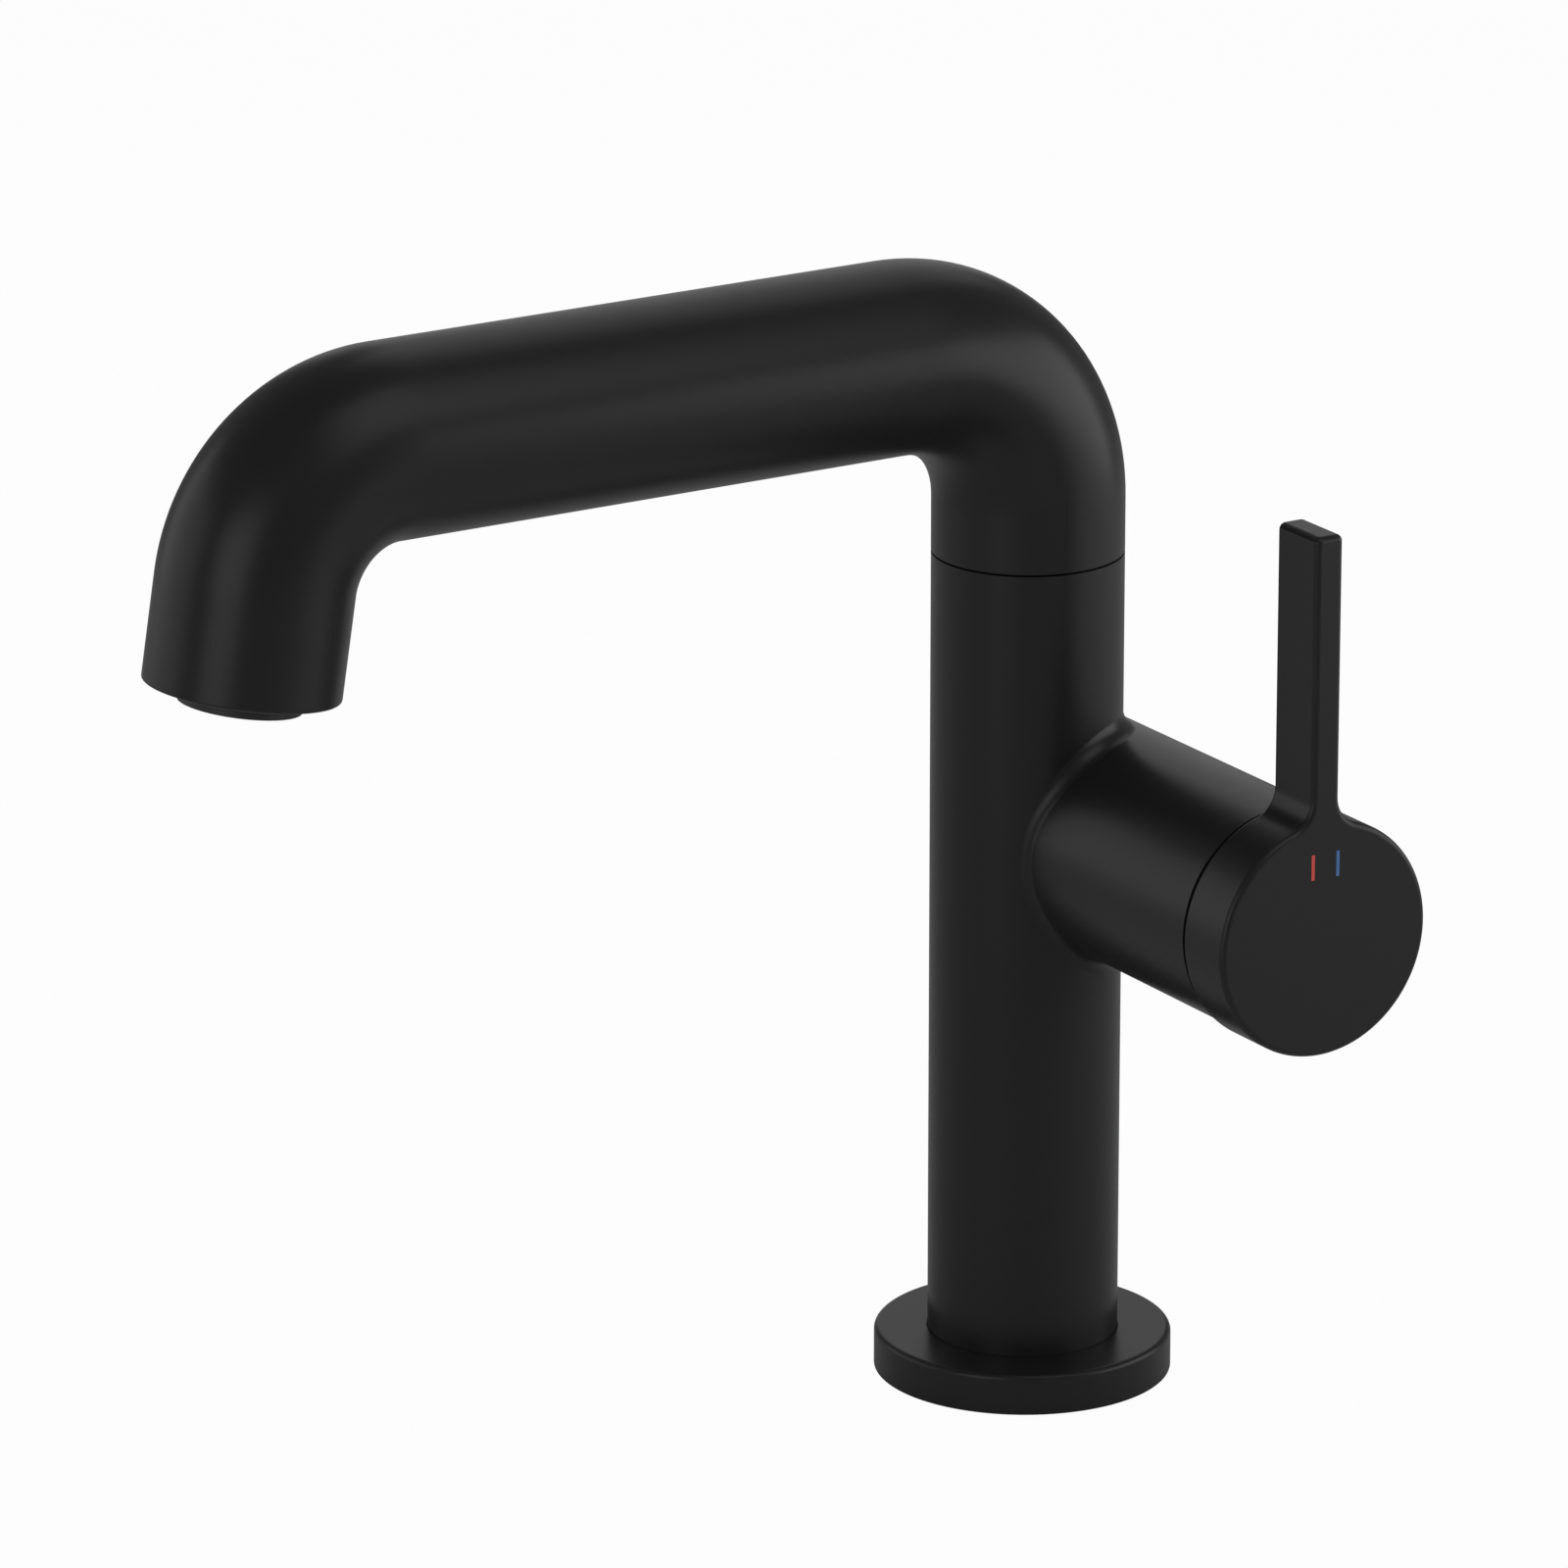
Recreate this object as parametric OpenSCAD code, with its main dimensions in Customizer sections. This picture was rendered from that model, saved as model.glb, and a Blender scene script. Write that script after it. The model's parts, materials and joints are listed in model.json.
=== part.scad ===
// Single-lever basin mixer: a column with a side valve barrel, a swivelling spout and a
// two-axis ceramic cartridge. Z is up, the spout points to -Y and the valve barrel to +X.
// The origin is the centre of the underside.

/* [Column and base] */
// Outside diameter of the column and of the spout
column_dia = 32; // [32:0.5:36]
// Height of the seam between the column and the spout
seam_height = 143; // [140:1:160]
// Open gap at the seam
seam_gap = 0.3; // [0.2:0.05:0.5]
// Diameter of the base flange
flange_dia = 50; // [46:1:60]
// Thickness of the base flange
flange_thickness = 7; // [5:0.5:10]
// Rounding of the outer edges
edge_round = 1; // [0.6:0.1:1.2]
// Thickness of the gasket under the flange
gasket_thickness = 2; // [1:0.25:3]
// Radial width of the gasket
gasket_width = 5; // [3:0.25:6]

/* [Water inlets] */
// Tap drill of the hose threads in the underside
inlet_bore_dia = 9; // [8:0.25:9.5]
// Depth of the hose threads
inlet_depth = 12; // [8:0.5:16]
// Distance between the two inlets
inlet_spacing = 15; // [14:0.25:16]
// Set-back of the inlets behind the column axis
inlet_set_back = 5.5; // [4:0.25:6]
// Tap drill of the hole for the fixing stud
stud_bore_dia = 6.8; // [5:0.2:7]
// Depth of the hole for the fixing stud
stud_depth = 14; // [10:0.5:20]
// Distance of the fixing stud in front of the column axis
stud_offset = 8.5; // [8:0.25:9.5]

/* [Spout] */
// Height of the spout's level part above the seam, at its centre line
spout_rise = 36.4; // [34:0.2:60]
// Centre-line radius of the upper bend
first_bend_radius = 27; // [24:0.5:32]
// Length of the straight level part
spout_straight = 94.4; // [60:0.2:140]
// Centre-line radius of the bend above the outlet
second_bend_radius = 23.6; // [22:0.2:30]
// Forward lean of the outlet from the vertical
outlet_tilt = 9.1; // [0:0.1:20]
// Straight length above the outlet
outlet_length = 17.1; // [16:0.1:24]
// Wall of the spout tube
spout_wall = 2.5; // [1.5:0.1:3]
// Rounding of the outlet's rim
outlet_round = 0.5; // [0.2:0.1:0.8]
// Swivel of the spout to each side
swivel_limit = 60; // [40:1:70]

/* [Swivel seat] */
// Bore in the column that holds the spigot
socket_dia = 22; // [20:0.25:24]
// Depth of that bore below the seam
socket_depth = 25; // [24:0.5:30]
// Waterway through the spigot
spigot_bore_dia = 14; // [10:0.25:15]
// Length of the spigot's head inside the spout tube
spigot_head = 7; // [5:0.25:9]
// Section of the O-rings on the spigot
o_ring_section = 1.5; // [1:0.1:1.6]
// Height of the slide rings on the spigot
slide_ring_height = 3.2; // [2:0.1:3.4]
// Thickness of the slide rings
slide_ring_thickness = 1; // [0.8:0.1:1.3]
// Thickness of the thrust washer under the spout
washer_thickness = 1.25; // [1:0.05:1.6]
// Thread diameter of the swivel stop screw
stop_screw_dia = 5; // [4:0.25:6]
// Tip diameter of the swivel stop screw
stop_tip_dia = 4; // [3:0.25:4]

/* [Aerator] */
// Outside diameter of the aerator housing
aerator_dia = 20; // [18:0.25:22]
// How far the aerator stands out of the outlet
aerator_drop = 2.5; // [1:0.1:4]
// Depth of the aerator's seat in the spout
aerator_depth = 12.6; // [12:0.1:14]
// Wall of the aerator housing
aerator_wall = 1.6; // [1:0.1:2]
// Pitch of the honeycomb cells
cell_pitch = 2.3; // [2:0.1:3]
// Width of one honeycomb cell, from corner to corner
cell_width = 2; // [1.4:0.1:2.1]

/* [Valve barrel] */
// Outside diameter of the barrel
barrel_dia = 38.4; // [38:0.2:41]
// Height of the barrel's axis
barrel_axis_height = 93.8; // [90:0.2:96]
// Distance of the barrel's axis behind the column's axis
barrel_set_back = 10.8; // [10:0.1:11.5]
// Reach of the barrel's open end from the column's axis
barrel_reach = 59.7; // [58:0.1:70]
// Distance of the barrel's closed end behind the column's axis
barrel_rear = 12; // [11:0.5:14]
// Rounding where the barrel runs into the column
junction_round = 3; // [2:0.1:3.5]

/* [Handle] */
// Diameter of the handle's disc
handle_dia = 39.6; // [39.2:0.1:43]
// Depth of the handle along the barrel
handle_depth = 11.5; // [11:0.1:13]
// Gap between the barrel and the handle
handle_gap = 0.8; // [0.6:0.05:1]
// Thickness of the lever blade
lever_width = 5.2; // [4:0.1:8]
// Height of the blade's top above the barrel's axis
lever_rise = 67.7; // [50:0.1:90]
// Rounding of the blade's top corners
lever_corner = 1.2; // [1.2:0.1:2]
// Rounding where the blade runs into the disc
root_round = 5; // [3:0.25:7]
// Rounding of the handle's rear edge
rear_round = 1; // [0.5:0.1:1.1]
// Thickness of the disc's front wall
front_wall = 3.4; // [2.5:0.1:3.6]
// Diameter of the hub that takes the stem
hub_dia = 13; // [12:0.2:13.4]
// Thread diameter of the grub screw
grub_dia = 4; // [3:0.25:4.5]
// Length of the grub screw
grub_length = 3.6; // [3:0.2:4]
// Width of one temperature mark
mark_width = 0.6; // [0.4:0.1:1]
// Height of one temperature mark
mark_height = 4.3; // [3:0.1:6]
// Depth of the marks in the disc's face
mark_depth = 0.4; // [0.3:0.05:0.8]
// Distance between the two marks
mark_spacing = 4.8; // [4:0.1:6]
// Height of the marks above the barrel's axis
mark_rise = 12.6; // [10:0.1:13]

/* [Cartridge] */
// Outside diameter of the cartridge
cartridge_dia = 25; // [25:0.1:25.4]
// Wall of the cartridge housing
housing_wall = 1.6; // [1.3:0.1:1.7]
// Distance of the lever's pivot behind the barrel's open end
pivot_depth = 16; // [15.5:0.1:16.5]
// Distance from the lever's pivot to the centre of the stem's ball
finger_reach = 7.4; // [7.2:0.05:7.5]
// Full tilt of the lever
tilt_limit = 20; // [10:1:20]
// Thickness of the cartridge base
cartridge_base_thickness = 4.4; // [4:0.1:4.8]
// Thickness of the two seals in the cartridge base
seal_thickness = 1.4; // [1:0.1:1.6]
// Thickness of the fixed ceramic disc
fixed_disc_thickness = 3; // [2.6:0.1:3.2]
// Thickness of the moving ceramic disc
moving_disc_thickness = 2.5; // [2.2:0.1:2.6]
// Diameter of the moving ceramic disc
moving_disc_dia = 18.8; // [18.4:0.1:18.9]
// Diameter of the hot and cold ports
port_dia = 3.8; // [3:0.1:4]
// Sideways distance of the hot and cold ports from the barrel's axis
port_side = 4.2; // [4:0.1:4.4]
// Height of the hot and cold ports above the barrel's axis
port_rise = 3.4; // [3.2:0.1:3.6]
// Drop of the mixed-water port below the barrel's axis
mixed_port_drop = 5.8; // [5.4:0.1:6]
// Diameter of the pivot pin
pin_dia = 2.5; // [2:0.1:2.8]
// Thickness of the stem where it passes through its guide
stem_thickness = 5; // [4.6:0.1:5.2]
// Height of the stem where it passes through its guide
stem_height = 6; // [5.4:0.1:6]
// Width of the stem's square end
stem_square = 7; // [6.6:0.1:7.2]
// Diameter of the stem's ball
ball_dia = 4; // [3.6:0.1:4.1]
// Wall of the barrel around the clamp nut
nut_seat_wall = 3.7; // [3:0.1:4]
// Height of the clamp nut
nut_height = 5.8; // [4:0.2:6]
// Height of the cover ring in front of the nut
cover_height = 4.6; // [3:0.2:4.8]
// Opening in the cover ring
cover_opening_dia = 22; // [21.4:0.2:23]

/* [Fits] */
// Radial clearance of parts that turn or slide
running_fit = 0.05; // [0.02:0.01:0.08]
// Radial clearance of parts that are only placed
loose_fit = 0.1; // [0.05:0.01:0.15]
// Clearance around the ball in its socket
ball_fit = 0.3; // [0.25:0.05:0.35]

/* [Hidden] */
$fn = 96;
BLACK = [0.16, 0.16, 0.17];
GREY = [0.36, 0.36, 0.37];
column_r = column_dia / 2;
flange_r = flange_dia / 2;
barrel_r = barrel_dia / 2;
handle_r = handle_dia / 2;
over = 0.5;
gasket_r = flange_r - 1.8;

// Spout
bore_r = column_r - spout_wall;
spout_foot = seam_height + seam_gap / 2;
column_top = seam_height - seam_gap / 2;
first_bend_foot = seam_height + spout_rise - first_bend_radius;
second_bend_angle = 90 - outlet_tilt;
straight_end = -first_bend_radius - spout_straight;
// The outlet is turned this much smaller than the bend that it runs into
outlet_step = 0.05;
// and reaches this far into it
outlet_reach_in = 0.3;

// Swivel seat
socket_r = socket_dia / 2;
socket_floor = seam_height - socket_depth;
spigot_r = socket_r - running_fit;
ring_r = socket_r - running_fit / 2;
spigot_end_gap = 0.8;
spigot_end_land = 1.2;
ring_land = 1;
spigot_foot = socket_floor + spigot_end_gap;
lower_slide_z = spigot_foot + spigot_end_land;
lower_o_z = lower_slide_z + slide_ring_height + ring_land;
stop_z = lower_o_z + o_ring_section + ring_land + stop_screw_dia / 2;
upper_o_z = stop_z + stop_screw_dia / 2 + ring_land;
upper_slide_z = upper_o_z + o_ring_section + ring_land;
washer_r = bore_r + spout_wall / 4;
washer_foot = spout_foot - 0.03 - washer_thickness;
washer_seat_z = washer_foot - 0.02;
stop_groove_depth = 1.9;
stop_groove_r = ring_r - stop_groove_depth;
stop_tip_r = stop_groove_r + 0.2;
stop_groove_angle = 2 * (swivel_limit + asin(stop_tip_dia / 2 / stop_tip_r) + 1);

// Aerator, measured inwards from the outlet plane
aerator_r = aerator_dia / 2;
aerator_bore_r = aerator_r - aerator_wall;
aerator_seal_thickness = 1.5;
housing_top = aerator_depth - aerator_seal_thickness;
aerator_lip = 0.6;
grid_thickness = 3;
grid_foot = aerator_lip - aerator_drop;
screen_thickness = 0.8;
screen_foot = grid_foot + grid_thickness + 1.8;
mesh_pitch = 1.9;
mesh_hole_dia = 1.1;
regulator_thickness = 2.6;
regulator_foot = screen_foot + screen_thickness + 0.6;
jet_dia = 2.4;
throat_r = aerator_bore_r - 1.4;

// Barrel and cartridge, measured along X
pivot_x = barrel_reach - pivot_depth;
ball_x = pivot_x - finger_reach;
ball_r = ball_dia / 2;
socket_base_x = ball_x - ball_r - ball_fit;
carriage_floor = 0.3;
disc_film = 0.02;
carriage_x = socket_base_x - carriage_floor;
moving_disc_x = carriage_x - moving_disc_thickness;
fixed_disc_x = moving_disc_x - disc_film - fixed_disc_thickness;
pocket_floor_x = fixed_disc_x - cartridge_base_thickness;
plate_top_x = ball_x + 0.1;
block_top_x = ball_x + ball_r + 0.1;
guide_x = block_top_x + loose_fit;
cap_x = pivot_x + 3.5;
cap_thickness = 3.5;
neck_end_x = cap_x + cap_thickness + 0.4;
cartridge_r = cartridge_dia / 2;
pocket_r = cartridge_r + running_fit;
cavity_r = cartridge_r - housing_wall;
cap_r = cavity_r + 0.1;
fixed_disc_r = cavity_r - loose_fit;
moving_disc_r = moving_disc_dia / 2;
guide_r = cavity_r - running_fit;
neck_r = 7.4;
nut_seat_r = barrel_r - nut_seat_wall;
nut_seat_x = cap_x - 0.5;
cover_x = cap_x + nut_height;
cover_r = nut_seat_r - running_fit;

// The moving disc lies half a stroke below the axis when the lever is closed
stroke = finger_reach * sin(tilt_limit);
disc_drop = stroke / 2;
block_width = 11;
port_r = port_dia / 2;
mixed_port_r = port_r + 0.3;
hot_port = [-port_side, port_rise];
cold_port = [port_side, port_rise];
mixed_port = [0, -mixed_port_drop];
slot_low = stem_height / 2 / cos(tilt_limit) + (neck_end_x - pivot_x) * sin(tilt_limit) + 0.3;
slot_high = 4.2;
pin_r = pin_dia / 2;
head_x = neck_end_x + 2.6;

// Handle, measured along X
handle_back = barrel_reach + handle_gap;
handle_front = handle_back + handle_depth;
hollow_front = handle_front - front_wall;
hub_x = handle_back + 2.4;
hub_r = hub_dia / 2;
stem_end = hollow_front - 0.6;
grub_x = (hub_x + stem_end) / 2 + 0.6;
grub_r = grub_dia / 2;
grub_tip_z = barrel_axis_height - stem_square / 2 - 0.05;

// Water passages, each a chain of drillings from the cartridge pocket
passage_r = port_r;
hot_z = barrel_axis_height + port_rise;
mixed_z = barrel_axis_height - mixed_port_drop;
cold_gallery_z = mixed_z - 7;
cold_side_y = barrel_set_back + 5.8;
cold_turn_x = pocket_floor_x - 8;
mixed_riser_y = column_r - mixed_port_r - 1.4;
well_z = socket_floor - 4;
hot_inlet = [-inlet_spacing / 2, inlet_set_back];
cold_inlet = [inlet_spacing / 2, inlet_set_back];
hot_passage = [
    [pocket_floor_x, barrel_set_back + hot_port[0], hot_z],
    [hot_inlet[0], hot_inlet[1], hot_z],
    [hot_inlet[0], hot_inlet[1], inlet_depth]
];
cold_passage = [
    [pocket_floor_x, barrel_set_back + cold_port[0], hot_z],
    [cold_turn_x, cold_side_y, hot_z],
    [cold_turn_x, cold_side_y, cold_gallery_z],
    [cold_inlet[0], cold_side_y, cold_gallery_z],
    [cold_inlet[0], cold_inlet[1], cold_gallery_z],
    [cold_inlet[0], cold_inlet[1], inlet_depth]
];
mixed_passage = [
    [pocket_floor_x, barrel_set_back, mixed_z],
    [0, mixed_riser_y, mixed_z],
    [0, mixed_riser_y, well_z],
    [0, 0, well_z]
];

// ---- Placing helpers ----

// Puts a shape drawn along +Z on the barrel's axis, with its foot at x. Its +Y stays +Y.
module on_barrel(x) {
    translate([x, barrel_set_back, barrel_axis_height]) rotate([0, 90, 0]) children();
}

// A straight disc or ring on the barrel's axis, from x1 to x2
module barrel_ring(x1, x2, outer, inner = 0) {
    on_barrel(x1) difference() {
        cylinder(r = outer, h = x2 - x1);
        if (inner > 0) translate([0, 0, -over]) cylinder(r = inner, h = x2 - x1 + 2 * over);
    }
}

// A round hole along the barrel at a port's place [side, rise], from x1 to x2
module port_hole(port, r, x1, x2) {
    translate([x1, barrel_set_back + port[0], barrel_axis_height + port[1]])
        rotate([0, 90, 0]) cylinder(r = r, h = x2 - x1);
}

// Puts a shape drawn along +Z, the flow reversed, in the outlet. Z = 0 is the outlet plane.
module in_outlet() {
    translate([0, straight_end, seam_height + spout_rise - second_bend_radius])
        rotate([-outlet_tilt, 0, 0])
            translate([0, -second_bend_radius, -outlet_length])
                children();
}

// One drilling from a to b
module drilling(a, b, r) {
    way = b - a;
    length = norm(way);
    translate(a)
        rotate([0, acos(way[2] / length), atan2(way[1], way[0])])
            cylinder(r = r, h = length);
}

// A chain of drillings, each run on past its corner, with every other one slightly smaller
module passage(points, r) {
    for (i = [0 : len(points) - 2]) {
        way = (points[i + 1] - points[i]) / norm(points[i + 1] - points[i]);
        start = i == 0 ? over : r;
        drilling(points[i] - way * start, points[i + 1] + way * r, i % 2 == 0 ? r : 0.9 * r);
    }
}

// Outline of a revolved ring with its upper outer edge rounded
module rounded_ring_outline(inner, outer, height, rounding) {
    difference() {
        translate([inner, 0]) square([outer - inner, height]);
        difference() {
            translate([outer - rounding, height - rounding]) square(rounding + over);
            translate([outer - rounding, height - rounding]) circle(r = rounding);
        }
    }
}

// ---- Column body ----

// Points of the fillet that a ball leaves when it rolls between column and barrel
ball_column = column_r + junction_round;
ball_barrel = barrel_r + junction_round;
// How far the fillet's edges run into the two cylinders
fillet_sink = 0.1;
fillet_sides = 6;
turn_t = 100;
turn_a = asin((barrel_set_back + ball_barrel * cos(turn_t)) / ball_column);
last_a = acos((edge_round - barrel_rear) / ball_column);
function a_of_t(t) = asin((barrel_set_back + ball_barrel * cos(t)) / ball_column);
function t_of_a(a) = acos((ball_column * sin(a) - barrel_set_back) / ball_barrel);
front_stations = [for (i = [0 : 15]) let (t = 180 - (180 - turn_t) * i / 15) [t, a_of_t(t)]];
back_stations =
    [for (i = [1 : 17]) let (a = turn_a + (last_a - turn_a) * i / 17) [t_of_a(a), a]];
upper_stations = concat(front_stations, back_stations);
function fillet_section(t, a) =
    let (
        to_column = [-cos(a), -sin(a), 0],
        to_barrel = [0, -cos(t), -sin(t)],
        centre = [
            ball_column * cos(a),
            ball_column * sin(a),
            barrel_axis_height + ball_barrel * sin(t)
        ],
        spread = acos(to_column * to_barrel),
        corner = (to_column + to_barrel) / (1 + to_column * to_barrel)
    )
    concat(
        [centre + 1.6 * junction_round * corner],
        [for (i = [0 : fillet_sides])
            let (
                share = i / fillet_sides,
                sink = i == 0 || i == fillet_sides ? fillet_sink : 0,
                way = (sin((1 - share) * spread) * to_column + sin(share * spread) * to_barrel)
                    / sin(spread)
            )
            centre + (junction_round + sink) * way]
    );

module junction_fillet() {
    upper = [for (s = upper_stations) fillet_section(s[0], s[1])];
    lower = [for (i = [len(upper_stations) - 1 : -1 : 1])
        fillet_section(-upper_stations[i][0], upper_stations[i][1])];
    sections = concat(lower, upper);
    n = len(sections[0]);
    rows = len(sections);
    sides = [for (k = [0 : rows - 2], i = [0 : n - 1]) let (j = (i + 1) % n) each [
        [k * n + i, (k + 1) * n + j, k * n + j],
        [k * n + i, (k + 1) * n + i, (k + 1) * n + j]
    ]];
    caps = [
        [for (i = [0 : n - 1]) i],
        [for (i = [n - 1 : -1 : 0]) (rows - 1) * n + i]
    ];
    polyhedron([for (s = sections) each s], concat(sides, caps), convexity = 8);
}

module barrel_solid() {
    on_barrel(-barrel_rear) mirror([0, 0, 1]) translate([0, 0, -barrel_rear - barrel_reach])
        rotate_extrude() rounded_ring_outline(0, barrel_r, barrel_rear + barrel_reach, edge_round);
}

module body_casting() {
    color(BLACK) difference() {
        union() {
            cylinder(r = column_r, h = column_top);
            barrel_solid();
            junction_fillet();
        }
        barrel_ring(pocket_floor_x, nut_seat_x + over, pocket_r);
        barrel_ring(nut_seat_x, barrel_reach + over, nut_seat_r);
        passage(hot_passage, passage_r);
        passage(cold_passage, passage_r);
        passage(mixed_passage, mixed_port_r);
        for (p = [hot_inlet, cold_inlet])
            translate([p[0], p[1], -over]) cylinder(d = inlet_bore_dia, h = inlet_depth + over);
        translate([0, -stud_offset, -over]) cylinder(d = stud_bore_dia, h = stud_depth + over);
        translate([0, 0, well_z - 1]) cylinder(r = socket_r / 2, h = socket_floor - well_z + 2);
        translate([0, 0, socket_floor]) cylinder(r = socket_r, h = socket_depth + over);
        translate([0, 0, washer_seat_z])
            cylinder(r = washer_r + loose_fit, h = washer_thickness + over);
        stop_screw_hole();
    }
}

module stop_screw_hole() {
    translate([0, 0, stop_z]) rotate([-90, 0, 0])
        translate([0, 0, socket_r - 1]) cylinder(d = stop_screw_dia, h = column_r);
}

module base_flange() {
    color(BLACK) difference() {
        rotate_extrude()
            rounded_ring_outline(column_r + running_fit, flange_r, flange_thickness, edge_round);
        translate([0, 0, -over]) difference() {
            cylinder(r = gasket_r + loose_fit, h = gasket_thickness + over);
            translate([0, 0, -over])
                cylinder(r = gasket_r - gasket_width - loose_fit, h = gasket_thickness + 3 * over);
        }
    }
}

module base_gasket() {
    color("dimgray") difference() {
        cylinder(r = gasket_r, h = gasket_thickness);
        translate([0, 0, -over]) cylinder(r = gasket_r - gasket_width, h = gasket_thickness + 2 * over);
    }
}

module thrust_washer() {
    color("ivory") translate([0, 0, washer_foot]) difference() {
        cylinder(r = washer_r, h = washer_thickness);
        translate([0, 0, -over]) cylinder(r = socket_r + loose_fit, h = washer_thickness + 2 * over);
    }
}

module swivel_stop_screw() {
    color("silver") translate([0, 0, stop_z]) rotate([-90, 0, 0]) difference() {
        union() {
            translate([0, 0, stop_tip_r]) cylinder(d = stop_tip_dia, h = socket_r - stop_tip_r + 1);
            translate([0, 0, socket_r + 0.4]) cylinder(d = stop_screw_dia, h = column_r - socket_r - 1);
        }
        translate([0, 0, column_r - 2.6]) cylinder(d = stop_screw_dia / 2, h = 3, $fn = 6);
    }
}

// ---- Cartridge ----

// Three rings joined by webs, as one moulded seal. The rings stand around the ports.
module seal_outline(grow) {
    ring = mixed_port_r + 1.2 + grow;
    for (p = [hot_port, cold_port, mixed_port]) translate([-p[1], p[0]]) circle(r = ring);
    translate([-1.1 - grow, -1.1 - grow]) square([mixed_port_drop + 1.1 + grow, 2.2 + 2 * grow]);
    translate([-port_rise - 1 - grow, -port_side]) square([2 + 2 * grow, 2 * port_side]);
    translate([-port_rise, -1.1 - grow]) square([port_rise + 1, 2.2 + 2 * grow]);
}

module moulded_seal(x) {
    difference() {
        on_barrel(x) linear_extrude(seal_thickness) seal_outline(0);
        three_ports(x - over, x + seal_thickness + over);
    }
}

module three_ports(x1, x2) {
    port_hole(hot_port, port_r, x1, x2);
    port_hole(cold_port, port_r, x1, x2);
    port_hole(mixed_port, mixed_port_r, x1, x2);
}

module cartridge_base() {
    top_seal_x = fixed_disc_x - seal_thickness;
    color("white") difference() {
        barrel_ring(pocket_floor_x, fixed_disc_x, cartridge_r);
        on_barrel(pocket_floor_x - over) linear_extrude(seal_thickness + over) seal_outline(loose_fit);
        on_barrel(top_seal_x) linear_extrude(seal_thickness + over) seal_outline(loose_fit);
        three_ports(pocket_floor_x - over, fixed_disc_x + over);
    }
}

module port_seal() {
    color("dimgray") moulded_seal(pocket_floor_x);
}

module disc_seal() {
    color("dimgray") moulded_seal(fixed_disc_x - seal_thickness);
}

module fixed_disc() {
    color("gainsboro") difference() {
        barrel_ring(fixed_disc_x, fixed_disc_x + fixed_disc_thickness, fixed_disc_r);
        three_ports(fixed_disc_x - over, moving_disc_x);
    }
}

module cartridge_housing() {
    color("lightgray") difference() {
        union() {
            barrel_ring(fixed_disc_x, cap_x, cartridge_r);
            barrel_ring(cap_x - over, cap_x + cap_thickness, cap_r);
        }
        barrel_ring(fixed_disc_x - over, cap_x, cavity_r);
        barrel_ring(cap_x - over, cap_x + cap_thickness + over, neck_r + running_fit);
    }
}

module clamp_nut() {
    slot = 3;
    color("goldenrod") difference() {
        barrel_ring(cap_x, cap_x + nut_height, nut_seat_r, cap_r + loose_fit);
        for (turn = [0 : 45 : 135])
            on_barrel(cap_x + nut_height - 2) rotate([0, 0, turn])
                translate([-barrel_r, -slot / 2, 0]) cube([barrel_dia, slot, 3]);
    }
}

module cartridge_cover() {
    color(BLACK) on_barrel(cover_x) rotate_extrude()
        rounded_ring_outline(cover_opening_dia / 2, cover_r, cover_height, 1.5);
}

// Everything below is drawn with the lever closed, upright and in its middle setting

module stem_guide() {
    color("whitesmoke") difference() {
        union() {
            barrel_ring(guide_x, cap_x - loose_fit, guide_r);
            barrel_ring(cap_x - over, neck_end_x, neck_r);
            skirt();
        }
        stem_slot();
        pin_bore(pin_r);
    }
}

module skirt() {
    difference() {
        barrel_ring(plate_top_x + loose_fit, guide_x + over, guide_r);
        on_barrel(plate_top_x)
            translate([-cartridge_r, -block_width / 2 - running_fit, 0])
                cube([cartridge_dia, block_width + 2 * running_fit, guide_x - plate_top_x]);
    }
}

module stem_slot() {
    width = stem_thickness + 2 * running_fit;
    translate([plate_top_x, barrel_set_back - width / 2, barrel_axis_height - slot_low])
        cube([neck_end_x - plate_top_x + over, width, slot_low + slot_high]);
}

module pin_bore(r) {
    translate([pivot_x, barrel_set_back - cartridge_r, barrel_axis_height])
        rotate([-90, 0, 0]) cylinder(r = r, h = cartridge_dia);
}

module pivot_pin() {
    length = 2 * (guide_r - 0.8);
    color("silver") translate([pivot_x, barrel_set_back - length / 2, barrel_axis_height])
        rotate([-90, 0, 0]) cylinder(r = pin_r, h = length);
}

module disc_carriage() {
    block_length = 12;
    color("gainsboro") difference() {
        union() {
            translate([0, 0, -disc_drop]) barrel_ring(carriage_x, plate_top_x, moving_disc_r);
            on_barrel(carriage_x)
                translate([disc_drop - block_length / 2, -block_width / 2, 0])
                    cube([block_length, block_width, block_top_x - carriage_x]);
        }
        barrel_ring(socket_base_x, block_top_x + over, ball_r + ball_fit);
    }
}

module moving_disc() {
    chamber_r = moving_disc_r - 1.6;
    // The chamber's edge lies just below the inlet ports when closed
    chamber_edge = port_rise - port_r - 0.5;
    color("whitesmoke") difference() {
        translate([0, 0, -disc_drop])
            barrel_ring(moving_disc_x, moving_disc_x + moving_disc_thickness, moving_disc_r);
        on_barrel(moving_disc_x - over) linear_extrude(over + 1.5) intersection() {
            translate([disc_drop, 0]) circle(r = chamber_r);
            translate([-chamber_edge, -cartridge_r]) square(cartridge_dia);
        }
    }
}

// ---- Handle ----

module lever_stem() {
    foot_x = pivot_x - 3.5;
    neck = 0.7 * ball_r;
    color("silver") difference() {
        union() {
            on_barrel(foot_x) translate([-stem_height / 2, -stem_thickness / 2, 0])
                cube([stem_height, stem_thickness, head_x - foot_x + over]);
            on_barrel(head_x) translate([-stem_square / 2, -stem_square / 2, 0])
                cube([stem_square, stem_square, stem_end - head_x]);
            barrel_ring(ball_x, foot_x + over, neck);
            on_barrel(ball_x) sphere(r = ball_r);
        }
        pin_bore(pin_r + running_fit);
    }
}

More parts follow.
